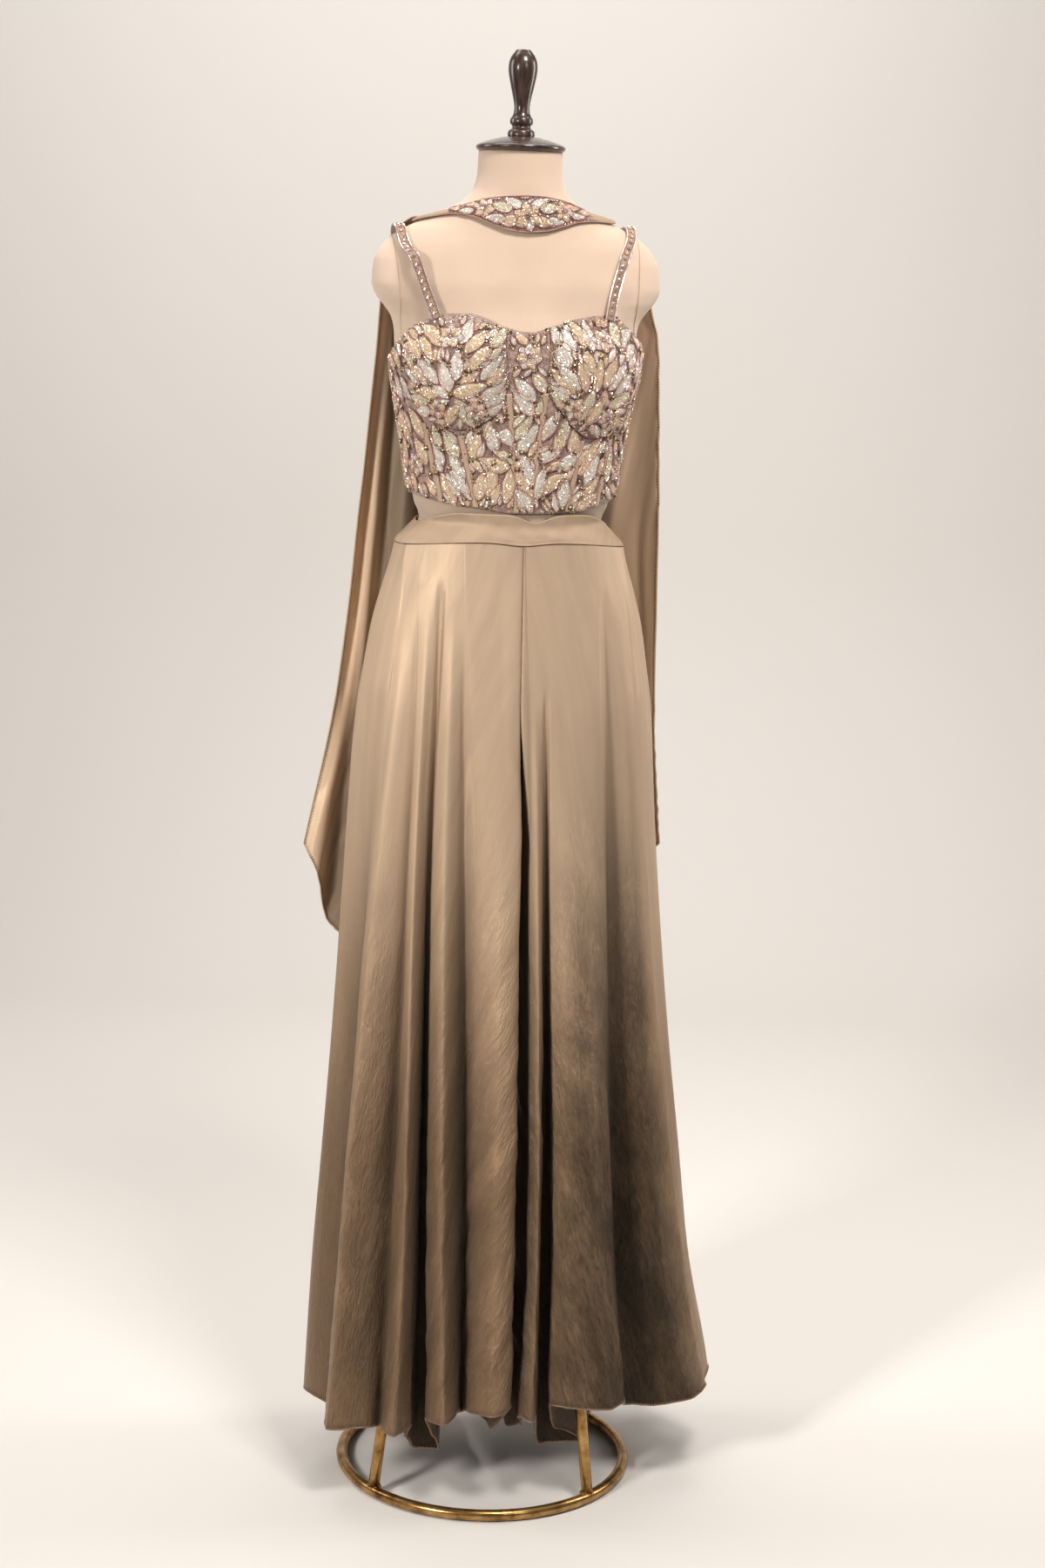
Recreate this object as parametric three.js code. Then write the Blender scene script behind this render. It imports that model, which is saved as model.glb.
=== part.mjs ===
// Palazzo suit on a limbless dress form: corset top, wide-leg trousers, choker with back drape, form, stand.
// Millimetres, +Z up, front faces -Y, origin at the bottom centre of the bounding box.
import * as THREE from 'three';

// ---------------------------------------------------------------- driving sizes
const SIZE = {
  cloth: 1.6,            // wall of trousers and drape
  corsetWall: 2.0,       // embroidered two-layer wall
  seam: 0.3,             // gap between sewn pieces
  clear: 1.0,            // cloth to form
  ringR: 179, tubeR: 7, ringSides: 12,
  legLean: 0.1475,       // stand legs: inward travel per mm of height
  hubZ: 944, hubR: 58, hubH: 8,
  formBottom: 953, formNeckTop: 1624.4,
  plateR: 52, plateH: 7,
  crotchTop: 938, crotch: 862, inseamY: 6,
};

// sections of the garment's outside on the body: half width, front depth, back depth, roundness
const TORSO = [
  // z,    a,   bf,  bb,  n
  [1100, 158, 106, 116, 2.30],
  [1140, 143, 104, 108, 2.30],
  [1170, 137, 102, 100, 2.30],
  [1185, 124,  98,  92, 2.30],
  [1200, 113,  94,  87, 2.25],
  [1216, 120,  94,  86, 2.25],
  [1254, 126.5, 97, 88, 2.25],
  [1296, 133, 100,  92, 2.25],
  [1331, 139, 104,  96, 2.25],
  [1368, 145, 107, 100, 2.25],
  [1395, 147, 106, 103, 2.25],
  [1425, 148,  99, 104, 2.20],
  [1450, 152,  90, 103, 2.20],
];
// sections of the form itself above the corset and below the waist
const FORM = [
  [ 953, 140,  92, 108, 2.3],
  [1000, 154, 100, 117, 2.3],
  [1060, 155, 102, 116, 2.3],
  [1100, 150, 100, 110, 2.3],
  [1140, 136,  98, 102, 2.3],
  [1170, 128,  95,  93, 2.3],
  [1200, 108,  89,  82, 2.3],
  [1216, 115,  89,  81, 2.3],
  [1254, 121.5, 92, 83, 2.25],
  [1296, 128,  95,  87, 2.25],
  [1331, 134,  99,  91, 2.25],
  [1368, 140, 102,  95, 2.25],
  [1395, 142, 101,  98, 2.25],
  [1418, 143.5, 94.5, 99, 2.25],
  [1432, 147,  88.5, 98.5, 2.25],
  [1444, 155,  84,  97, 2.25],
  [1456, 165,  81,  95.5, 2.25],
  [1472, 171,  78,  94, 2.25],
  [1495, 169,  71,  88, 2.2],
  [1515, 159,  65,  81, 2.1],
  [1530, 142,  60,  74, 2.0],
  [1543, 117,  57,  68, 1.95],
  [1556,  88,  55,  62, 1.95],
  [1568,  66,  53,  57, 2.0],
  [1582,  54,  51,  53, 2.0],
  [1600,  50,  48,  49, 2.0],
  [1624.4, 49, 46, 46, 2.0],
];
// wire seam under the cups: bearing, height
const WIRE = [ // deg, z
  [-72, 1338], [-63, 1322], [-53, 1312], [-41, 1306], [-29, 1313], [-18, 1331], [-13.5, 1352], [0, 1390],
  [12, 1354], [20, 1333], [31, 1310], [43, 1299], [55, 1305], [66, 1330], [72, 1342],
];
// bust cups: centre angle (deg), centre height, spread, lift
const CUPS = [
  { side: -1, at: 40, z: 1383, dA: 28, dZ: 45, lift: 18.5 },
  { side:  1, at: 40, z: 1383, dA: 28, dZ: 45, lift: 18.5 },
];

// ---------------------------------------------------------------- small maths
const { sin, cos, abs, sign, sqrt, min, max, PI, hypot, floor } = Math;
const D2R = PI / 180;
const mix = (a, b, t) => a + (b - a) * t;
const clamp = (v, a, b) => min(b, max(a, v));
const step = (e0, e1, v) => { const t = clamp((v - e0) / (e1 - e0), 0, 1); return t * t * (3 - 2 * t); };
// monotone cubic through rows [key, v1, v2 ...]
function table(rows, key, col) {
  const n = rows.length;
  if (key <= rows[0][0]) return rows[0][col];
  if (key >= rows[n - 1][0]) return rows[n - 1][col];
  let i = 0; while (key > rows[i + 1][0]) i++;
  const h = rows[i + 1][0] - rows[i][0], t = (key - rows[i][0]) / h;
  const sl = k => (rows[k + 1][col] - rows[k][col]) / (rows[k + 1][0] - rows[k][0]);
  const tan = k => {
    if (k === 0) return sl(0); if (k === n - 1) return sl(n - 2);
    const a = sl(k - 1), b = sl(k); return a * b <= 0 ? 0 : 2 * a * b / (a + b);
  };
  const m0 = tan(i) * h, m1 = tan(i + 1) * h, y0 = rows[i][col], y1 = rows[i + 1][col];
  return y0 * (1 + 2 * t) * (1 - t) ** 2 + m0 * t * (1 - t) ** 2 + y1 * t * t * (3 - 2 * t) + m1 * t * t * (t - 1);
}
// radius of a section at angle th (0 = front, + = towards +X)
function sectionR(rows, th, z) {
  const a = table(rows, z, 1), b = table(rows, z, cos(th) >= 0 ? 2 : 3), n = table(rows, z, 4);
  return (abs(sin(th) / a) ** n + abs(cos(th) / b) ** n) ** (-1 / n);
}
const polar = (r, th, z) => [r * sin(th), -r * cos(th), z];
function cupLift(th, z) { // rises steeply above the wire seam, fades upwards and sideways
  let s = 0; const deg = th / D2R, up = clamp((z - table(WIRE, deg, 1) + .5) / 46, 0, 1), g = up * (2 - up) * step(10, 24, abs(deg));
  for (const c of CUPS) { const da = (deg - c.side * c.at) / c.dA, dz = max(z - c.z, 0) / c.dZ; s += c.lift * Math.exp(-(da * da + dz * dz) * 1.1) * g; }
  return s;
}
const corsetAt = (th, z, off = 0) => polar(sectionR(TORSO, th, z) + cupLift(th, z) + off, th, z);
const formAt = (th, z, off = 0) => polar(sectionR(FORM, th, z) + off, th, z);

// ---------------------------------------------------------------- mesh helpers
const group = new THREE.Group(); group.name = 'palazzo_suit_on_dress_form';
const MAT = {
  satin: [0xa98d70, 0.45], embroidery: [0xb9a68c, 0.7], channel: [0xa58a72, 0.6], bead: [0x9a7f7a, 0.6],
  jersey: [0xe3cda9, 0.9], wood: [0x4a3a34, 0.35], brass: [0xa8783c, 0.35],
};
function addMesh(name, pos, tri, mat, metal = 0) {
  const p = new Float32Array(pos.length * 3);
  pos.forEach((v, i) => { p[3 * i] = v[0]; p[3 * i + 1] = v[1]; p[3 * i + 2] = v[2]; });
  const g = new THREE.BufferGeometry();
  g.setAttribute('position', new THREE.BufferAttribute(p, 3));
  g.setIndex(tri.flat()); g.computeVertexNormals();
  const m = new THREE.Mesh(g, new THREE.MeshStandardMaterial({ color: MAT[mat][0], roughness: MAT[mat][1], metalness: metal, side: THREE.FrontSide }));
  m.name = name; group.add(m); return m;
}
function volume(pos, tri) {
  let v = 0;
  for (const [a, b, c] of tri) {
    const A = pos[a], B = pos[b], C = pos[c];
    v += A[0] * (B[1] * C[2] - B[2] * C[1]) - A[1] * (B[0] * C[2] - B[2] * C[0]) + A[2] * (B[0] * C[1] - B[1] * C[0]);
  }
  return v / 6;
}
const cross = (a, b) => [a[1] * b[2] - a[2] * b[1], a[2] * b[0] - a[0] * b[2], a[0] * b[1] - a[1] * b[0]];
const sub = (a, b) => [a[0] - b[0], a[1] - b[1], a[2] - b[2]];
const unit = v => { const l = hypot(...v) || 1; return [v[0] / l, v[1] / l, v[2] / l]; };
// closed thin shell: outer[i][j] on the surface, unit normal[i][j] pointing out, wall t
function shell(name, outer, normal, t, mat, lift = 0) {
  const nu = outer.length, nv = outer[0].length, pos = [], tri = [];
  const id = (k, i, j) => k * nu * nv + i * nv + j;
  for (let k = 0; k < 2; k++) for (let i = 0; i < nu; i++) for (let j = 0; j < nv; j++) {
    const p = outer[i][j], n = normal[i][j], d = lift - k * t;
    pos.push([p[0] + n[0] * d, p[1] + n[1] * d, p[2] + n[2] * d]);
  }
  const quad = (a, b, c, d) => { tri.push([a, b, c], [a, c, d]); };
  for (let i = 0; i < nu - 1; i++) for (let j = 0; j < nv - 1; j++) {
    quad(id(0, i, j), id(0, i + 1, j), id(0, i + 1, j + 1), id(0, i, j + 1));
    quad(id(1, i, j), id(1, i, j + 1), id(1, i + 1, j + 1), id(1, i + 1, j));
  }
  for (let i = 0; i < nu - 1; i++) {
    quad(id(0, i, 0), id(1, i, 0), id(1, i + 1, 0), id(0, i + 1, 0));
    quad(id(0, i, nv - 1), id(0, i + 1, nv - 1), id(1, i + 1, nv - 1), id(1, i, nv - 1));
  }
  for (let j = 0; j < nv - 1; j++) {
    quad(id(0, 0, j), id(0, 0, j + 1), id(1, 0, j + 1), id(1, 0, j));
    quad(id(0, nu - 1, j), id(1, nu - 1, j), id(1, nu - 1, j + 1), id(0, nu - 1, j + 1));
  }
  if (volume(pos, tri) < 0) tri.forEach(f => f.reverse());
  return addMesh(name, pos, tri, mat);
}
// surface piece: fn(u, v) -> point, outward hint from the body axis; u, v in [0, 1]
function surfacePiece(name, fn, nu, nv, t, mat, lift = 0, hint = null) {
  const e = 2e-3, outer = [], normal = [];
  for (let i = 0; i < nu; i++) {
    outer.push([]); normal.push([]);
    for (let j = 0; j < nv; j++) {
      const u = i / (nu - 1), v = j / (nv - 1), p = fn(u, v);
      let n = unit(cross(sub(fn(u + e, v), fn(u - e, v)), sub(fn(u, v + e), fn(u, v - e))));
      const h = hint ? hint(p) : [p[0], p[1], 0];
      if (n[0] * h[0] + n[1] * h[1] + n[2] * h[2] < 0) n = n.map(q => -q);
      outer[i].push(p); normal[i].push(n);
    }
  }
  return shell(name, outer, normal, t, mat, lift);
}
// solid of stacked rings, each ring a list of points, closed by flat caps
function stack(name, rings, mat, metal = 0) {
  const n = rings[0].length, pos = rings.flat(), tri = [], R = rings.length;
  for (let k = 0; k < R - 1; k++) for (let i = 0; i < n; i++) {
    const a = k * n + i, b = k * n + (i + 1) % n, c = a + n, d = b + n;
    tri.push([a, b, d], [a, d, c]);
  }
  const cap = (k, flip) => {
    const r = rings[k], c = [0, 1, 2].map(q => r.reduce((s, p) => s + p[q], 0) / n);
    const m = pos.push(c) - 1;
    for (let i = 0; i < n; i++) { const a = k * n + i, b = k * n + (i + 1) % n; tri.push(flip ? [m, b, a] : [m, a, b]); }
  };
  cap(0, true); cap(R - 1, false);
  if (volume(pos, tri) < 0) tri.forEach(f => f.reverse());
  return addMesh(name, pos, tri, mat, metal);
}

// ---------------------------------------------------------------- stand
const ringSec = [];
for (let i = 0; i < SIZE.ringSides; i++) {
  const a = (i + 0.5) / SIZE.ringSides * 2 * PI;
  ringSec.push([SIZE.ringR + SIZE.tubeR * cos(a) / cos(PI / SIZE.ringSides), SIZE.tubeR + SIZE.tubeR * sin(a) / cos(PI / SIZE.ringSides)]);
}
{ // floor ring: closed loop of sections
  const N = 48, M = SIZE.ringSides, pos = [], tri = [];
  for (let k = 0; k < N; k++) for (const [r, z] of ringSec) { const a = 2 * PI * k / N; pos.push([r * cos(a), r * sin(a), z]); }
  for (let k = 0; k < N; k++) for (let i = 0; i < M; i++) {
    const a = k * M + i, b = k * M + (i + 1) % M, c = ((k + 1) % N) * M + i, d = ((k + 1) % N) * M + (i + 1) % M;
    tri.push([a, c, d], [a, d, b]);
  }
  if (volume(pos, tri) < 0) tri.forEach(f => f.reverse());
  addMesh('stand_ring', pos, tri, 'brass', 0.8);
}
// stand legs: bearing in degrees from the front, + = +X
const LEGS = [
  { name: 'stand_tube_front_right', at: -58 },
  { name: 'stand_tube_front_left', at: 38 },
  { name: 'stand_tube_back_left', at: 122 },
  { name: 'stand_tube_back_right', at: -142 },
];
for (const { name, at } of LEGS) {
  const th = at * D2R, rings = [], z0 = 2 * SIZE.tubeR + 0.3, z1 = SIZE.hubZ - 0.3;
  for (const z of [z0, z1]) {
    const r = SIZE.ringR - SIZE.legLean * z, c = [r * sin(th), -r * cos(th)], ring = [];
    for (let i = 0; i < 12; i++) { const a = i / 12 * 2 * PI; ring.push([c[0] + SIZE.tubeR * cos(a), c[1] + SIZE.tubeR * sin(a), z]); }
    rings.push(ring);
  }
  stack(name, rings, 'brass', 0.8);
}
const disc = (r, z, n = 40) => Array.from({ length: n }, (_, i) => [r * cos(2 * PI * i / n), r * sin(2 * PI * i / n), z]);
stack('stand_hub', [disc(SIZE.hubR, SIZE.hubZ), disc(SIZE.hubR, SIZE.hubZ + SIZE.hubH)], 'brass', 0.8);

// ---------------------------------------------------------------- form, cap seams at |x| = capX
{
  const zs = [953, 975, 1000, 1050, 1100, 1135, 1165, 1185, 1200, 1216, 1250, 1290, 1325, 1360, 1390, 1410, 1424, 1436, 1447, 1458, 1472, 1495, 1512, 1525, 1536, 1546, 1556, 1567, 1580, 1600, 1624.4];
  const N = 44;
  stack('form_torso', zs.map(z => Array.from({ length: N }, (_, i) => formAt(2 * PI * i / N, z))), 'jersey');
}
// ---------------------------------------------------------------- turned wood: neck plate and finial
function turned(name, prof, n, mat) { stack(name, prof.map(([r, z]) => disc(r, z, n)), mat); }
turned('neck_plate', [[47, 1624.8], [51.2, 1626.6], [52.4, 1629], [51.6, 1631.5], [48, 1633.4], [34, 1638.2], [21, 1641.2]], 36, 'wood');
turned('finial', [[15.4, 1641.6], [16, 1644], [15, 1648.6], [11.5, 1651], [10.6, 1653.6], [13.2, 1657], [13.4, 1661], [11.2, 1664.6], [9.2, 1671], [9.2, 1677],
  [11.3, 1688], [14.4, 1702], [16.6, 1714], [17.1, 1720.5], [15.8, 1727.5], [12.6, 1734], [9.5, 1738.4], [7.6, 1740]], 28, 'wood');

// ---------------------------------------------------------------- corset top
// top edge and hem heights by bearing; channel bearings at hem and at top
const TOP_EDGE = [ // deg, z
  [-180, 1366], [-130, 1369], [-100, 1378], [-82, 1396], [-70, 1416], [-60, 1430], [-50, 1439], [-38, 1440], [-27, 1434], [-17, 1425], [0, 1421],
  [15, 1427], [29, 1436], [44, 1441], [54, 1440], [62, 1428], [74, 1410], [86, 1392], [104, 1376], [132, 1369], [180, 1366],
];
const HEM = [
  [-180, 1228], [-110, 1229], [-90, 1229], [-74, 1227], [-52, 1221], [-30, 1217], [-5, 1212], [6, 1212], [20, 1213], [38, 1215], [56, 1220], [76, 1226], [92, 1229], [180, 1228],
];
const topZ = deg => table(TOP_EDGE, deg, 1), hemZ = deg => table(HEM, deg, 1);
// boning lines: bearing at the hem and at the height where the line stops
const BONES = [ // name, deg at hem, deg at top, top z
  { name: 'r3', d0: -53, d1: -63, z: 1317 }, { name: 'r2', d0: -32, d1: -41, z: 1305 }, { name: 'r1', d0: -5, d1: -12.5, z: 1352 },
  { name: 'l1', d0: 5, d1: 11, z: 1352 }, { name: 'l2', d0: 31, d1: 36.5, z: 1297 }, { name: 'l3', d0: 52.5, d1: 57, z: 1304 },
];
const boneDeg = (b, z) => mix(b.d0, b.d1, clamp((z - 1214) / (b.z - 1214), 0, 2.2));
// underwire: height of the seam by bearing between the centre panel and the side
const wireZ = deg => table(WIRE, deg, 1);
for (const b of BONES) b.z = wireZ(b.d1);
const gapA = SIZE.seam / 2 / 118 / D2R;      // half a seam gap as an angle
const half = SIZE.seam / 2;
const CW = SIZE.corsetWall;
// panel between two bearing functions and two height functions
function corsetPanel(name, degA, degB, zLo, zHi, nu, nv, mat = 'embroidery') {
  return surfacePiece(name, (u, v) => {
    // two passes, as bearing depends on height and height on bearing
    let d = mix(degA(1300), degB(1300), u), z = 0;
    for (let k = 0; k < 6; k++) { z = mix(zLo(d) + half, zHi(d) - half, v); d = mix(degA(z) + gapA, degB(z) - gapA, u); }
    return corsetAt(d * D2R, z);
  }, nu, nv, CW, mat);
}
const [r3, r2, r1, l1, l2, l3] = BONES;
const line = b => z => boneDeg(b, z);
const k = v => () => v;
corsetPanel('corset_front_centre', z => z > 1352 ? mix(-12.5, -15, step(1352, 1425, z)) : line(r1)(z), z => z > 1352 ? mix(11, 13.5, step(1352, 1425, z)) : line(l1)(z), hemZ, topZ, 6, 14);
corsetPanel('corset_cup_right', line(r3), z => mix(-12.5, -15, step(1352, 1425, z)), d => wireZ(d) + .35, topZ, 13, 10);
corsetPanel('corset_cup_left', z => mix(11, 13.5, step(1352, 1425, z)), line(l3), d => wireZ(d) + .35, topZ, 13, 10);
const underWire = d => wireZ(d) - .35 - .25 * step(22, 14, abs(d));
corsetPanel('corset_front_inner_right', line(r2), line(r1), hemZ, underWire, 6, 8);
corsetPanel('corset_front_inner_left', line(l1), line(l2), hemZ, underWire, 6, 8);
corsetPanel('corset_front_outer_right', line(r3), line(r2), hemZ, d => wireZ(d) - .35, 5, 7);
corsetPanel('corset_front_outer_left', line(l2), line(l3), hemZ, d => wireZ(d) - .35, 5, 7);
// side-back panels: the front edge runs up the outer boning line to the top edge
const sideEdge = b => z => boneDeg(b, z) + Math.sign(b.d0) * .2;
corsetPanel('corset_side_back_left', sideEdge(l3), k(180), hemZ, topZ, 14, 10);
corsetPanel('corset_side_back_right', k(-180), sideEdge(r3), hemZ, topZ, 14, 10);
// boning channels lie on the panels: same surface moved out
for (const b of BONES) {
  const w = 3.4 / 110 / D2R;
  surfacePiece(`boning_channel_${b.name}`, (u, v) => {
    let d = boneDeg(b, 1214) + (u - .5) * 2 * w, z = 0;
    for (let q = 0; q < 5; q++) { z = mix(hemZ(d) + 1.2, wireZ(b.d1) - (abs(b.d1) > 50 ? 12.5 : 6), v); d = boneDeg(b, z) + (u - .5) * 2 * w; }
    return corsetAt(d * D2R, z);
  }, 3, 9, 1.0, 'channel', 1.0 + 0.35);
}
// straps: from the top edge up over the shoulder and down to the back edge
const STRAPS = [ // side, front bearing, shoulder x, back bearing, shares of the way out on the front run
  { name: 'strap_right', s: -1, f: -53, x: -140, b: -137, k: [.34, .72, .9] }, { name: 'strap_left', s: 1, f: 49.5, x: 130, b: 137, k: [.18, .51, .75] },
];
const strapW = 12;
for (const S of STRAPS) {
  const pts = [], nrm = [];
  const F = corsetAt(S.f * D2R, topZ(S.f) - 5), B = corsetAt(S.b * D2R, topZ(S.b) - 5);
  const X = S.x, dz = S.s < 0 ? -8 : -3; // shoulder crossing
  // taut path: straight run, resting only on the shoulder top
  const rows = [ // t, x, y, z
    [0, F[0] + S.s * 1.1, F[1] - 1.9, F[2]], [1, mix(F[0], X, S.k[0]), F[1] + 6, 1462], [2, mix(F[0], X, S.k[1]), -66, 1500], [3, mix(F[0], X, S.k[2]), -42, 1519 + dz],
    [4, X, -10, 1541.5 + dz], [5, X, 20, 1540 + dz], [6, mix(X, B[0], .12), 52, 1520 + dz], [7, mix(X, B[0], .35), 84, 1496], [8, mix(X, B[0], .62), 101, 1450], [9, mix(X, B[0], .85), B[1] + 5.5, 1405], [10, B[0], B[1] + 3.2, B[2]],
  ];
  const P = v => [1, 2, 3].map(c => table(rows, v * 10, c));
  // keep above the form
  const lifted = v => {
    const p = P(v);
    for (let i = 0; i < 40; i++) {
      let hit = false;
      for (const w of [-7, 0, 7]) {
        const x = p[0] + w, r = hypot(x, p[1]), th = Math.atan2(x, -p[1]);
        if (p[2] < 1600 && r < sectionR(FORM, th, p[2]) + 2.6) hit = true;
      }
      if (!hit) break;
      const th = Math.atan2(p[0], -p[1]); p[0] += sin(th) * 0.6; p[1] -= cos(th) * 0.6; p[2] += 1.0;
    }
    return p;
  };
  const N = 17;
  for (let i = 0; i < 2; i++) { pts.push([]); nrm.push([]); }
  for (let j = 0; j < N; j++) {
    const v = j / (N - 1), p = lifted(v), a = lifted(max(0, v - .03)), b = lifted(min(1, v + .03));
    const t = unit(sub(b, a)), w = unit([1, S.s * (j < N / 2 ? .28 : -.25), 0]), n0 = unit(cross(t, w));
    const n = n0[2] * (v > .25 && v < .75 ? 1 : 0) + n0[1] * (v <= .25 ? -1 : v >= .75 ? 1 : 0) < 0 ? n0.map(q => -q) : n0;
    for (let i = 0; i < 2; i++) { const d = (i ? .5 : -.5) * strapW; pts[i].push([p[0] + w[0] * d, p[1] + w[1] * d, p[2] + w[2] * d]); nrm[i].push(n); }
  }
  shell(S.name, pts, nrm, 1.6, 'embroidery', 1.6);
}

// ---------------------------------------------------------------- trousers
// plan envelope of both legs: half widths, depths
const HIPS = [ // z, a right(-X), a left(+X), front, back, n
  [  60, 234, 302, 149, 150, 2.9],
  [ 130, 231, 290, 147, 149, 2.9],
  [ 276, 224, 259, 139, 144, 2.85],
  [ 418, 214, 240, 132, 140, 2.8],
  [ 534, 206, 224, 127, 137, 2.75],
  [ 649, 199, 210, 122, 135, 2.7],
  [ 763, 193, 198, 118, 134, 2.6],
  [ 875, 187, 188, 116, 134, 2.5],
  [ 970, 180, 181, 115, 133, 2.4],
  [1029, 171, 172, 112, 127, 2.35],
  [1071, 164, 165, 109, 121, 2.3],
  [1118, 151.5, 152.5, 106, 112, 2.3],
  [1146, 143, 143.5, 104, 106, 2.3],
  [1176, 136, 136, 102.3, 99, 2.3],
];
function hipY(x, z, back) {
  const a = table(HIPS, z, x < 0 ? 1 : 2), b = table(HIPS, z, back ? 4 : 3), n = table(HIPS, z, 5);
  const q = 1 - abs(clamp(x / a, -1, 1)) ** n;
  return (back ? 1 : -1) * b * max(q, 0) ** (1 / n);
}
// fold rows, side seam to centre. x at four heights (x0 at 1176 as a share of the half width), in = inward push at the hem
// (valleys) or outward (crests, negative), from = height where the fold starts, hem = hem height
const FOLDS = {
  front_right: [ // f0, x790, x310, xHem, in, from, hem
    [-0.985, -191, -216, -229, 2, 900, 104],
    [-0.955, -181, -207, -214, 44, 1000, 94],
    [-0.93, -171, -209, -222, 12, 1040, 92],
    [-0.905, -158, -190, -203, -7, 1060, 96],
    [-0.88, -139, -166, -172, 10, 1080, 96],
    [-0.86, -130, -150, -158, 34, 1090, 92],
    [-0.84, -127, -141, -151, 10, 1090, 98],
    [-0.77, -118, -124, -132, -7, 1080, 101],
    [-0.715, -112, -114, -115, 10, 1110, 102],
    [-0.695, -109, -112, -120, 30, 1130, 84],
    [-0.68, -107, -107, -106, 54, 1130, 58],
    [-0.66, -103, -94, -76, 56, 1130, 56],
    [-0.64, -101, -95, -84, 30, 1130, 84],
    [-0.62, -98, -97, -93, 10, 1110, 112],
    [-0.575, -84, -80, -74, -7, 1080, 116],
    [-0.53, -70, -62, -55, 10, 1070, 118],
    [-0.505, -62, -50, -47, 46, 1060, 108],
    [-0.47, -45, -41, -42, 10, 1050, 121],
    [-0.22, -18, -18, -18, -8, 1000, 126],
    [-0.002, 6, 10, 10, 4, 1000, 130],
  ],
  front_left: [
    [0.985, 196, 252, 296, 2, 900, 112],
    [0.955, 180, 240, 282, 22, 1000, 106],
    [0.91, 166, 232, 280, 6, 1020, 118],
    [0.84, 152, 200, 246, 6, 1060, 112],
    [0.76, 136, 170, 204, 32, 1100, 104],
    [0.715, 123, 150, 172, 42, 1120, 106],
    [0.68, 113, 139, 160, 16, 1110, 122],
    [0.64, 106, 132, 153, 2, 1100, 126],
    [0.53, 92, 112, 132, -8, 1080, 127],
    [0.41, 74, 92, 104, -7, 1000, 128],
    [0.31, 58, 74, 78, 0, 960, 128],
    [0.22, 44, 59, 59, 9, 980, 127],
    [0.195, 42, 61, 74, 30, 1000, 88],
    [0.175, 41, 66, 122, 56, 1000, 56],
    [0.155, 38, 50, 60, 60, 1000, 56],
    [0.135, 35, 46, 47, 32, 990, 84],
    [0.11, 32, 43, 43, 9, 980, 112],
    [0.06, 26, 37, 33, -5, 1000, 115],
    [0.02, 20, 31, 22, 4, 1000, 117],
    [0.002, 17, 27, 20, 9, 1000, 112],
  ],
  back_right: [
    [-0.985, -190, -215, -228, 6, 900, 100],
    [-0.93, -178, -200, -208, 28, 1000, 90],
    [-0.86, -166, -190, -200, 2, 1020, 92],
    [-0.79, -150, -172, -182, -4, 1020, 90],
    [-0.735, -139, -158, -166, 10, 1060, 84],
    [-0.71, -134, -152, -160, 40, 1090, 76],
    [-0.68, -127, -142, -150, 9, 1060, 86],
    [-0.60, -108, -120, -124, -7, 1000, 88],
    [-0.50, -84, -82, -90, 3, 1060, 84],
    [-0.46, -76, -69, -80, 28, 1080, 76],
    [-0.42, -70, -62, -72, 8, 1060, 84],
    [-0.34, -60, -55, -62, -6, 1050, 86],
    [-0.27, -50, -52, -54, 8, 1060, 84],
    [-0.235, -44, -46, -48, 40, 1080, 72],
    [-0.20, -38, -38, -40, 8, 1040, 84],
    [-0.12, -22, -22, -24, -5, 1000, 88],
    [-0.002, -6, -5, -6, 4, 1000, 90],
  ],
  back_left: [
    [0.985, 195, 250, 292, 8, 900, 106],
    [0.93, 180, 232, 266, 26, 1000, 92],
    [0.87, 166, 216, 252, 0, 1010, 98],
    [0.79, 150, 190, 222, -3, 1030, 94],
    [0.74, 139, 176, 204, 12, 1060, 84],
    [0.715, 134, 170, 196, 42, 1090, 76],
    [0.68, 126, 158, 184, 9, 1060, 88],
    [0.60, 108, 136, 156, -7, 1000, 90],
    [0.52, 94, 118, 132, 9, 1040, 84],
    [0.485, 88, 110, 124, 42, 1080, 74],
    [0.45, 82, 101, 114, 9, 1060, 86],
    [0.36, 66, 82, 90, -7, 1040, 88],
    [0.28, 53, 67, 70, 9, 1040, 84],
    [0.245, 47, 61, 62, 38, 1080, 72],
    [0.21, 41, 53, 55, 9, 1020, 86],
    [0.10, 24, 34, 36, -5, 980, 88],
    [0.002, 8, 14, 12, 4, 980, 90],
  ],
};
// inner leg: rows from the front edge to the inseam, share of the way, sideways shift into the leg
const INNER = [ // share, shift at 860, shift at hem, hem
  [0.30, 3, 14, 84],
  [0.62, 2, 4, 64],
  [1.00, 1, 9, 60],
];
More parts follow.
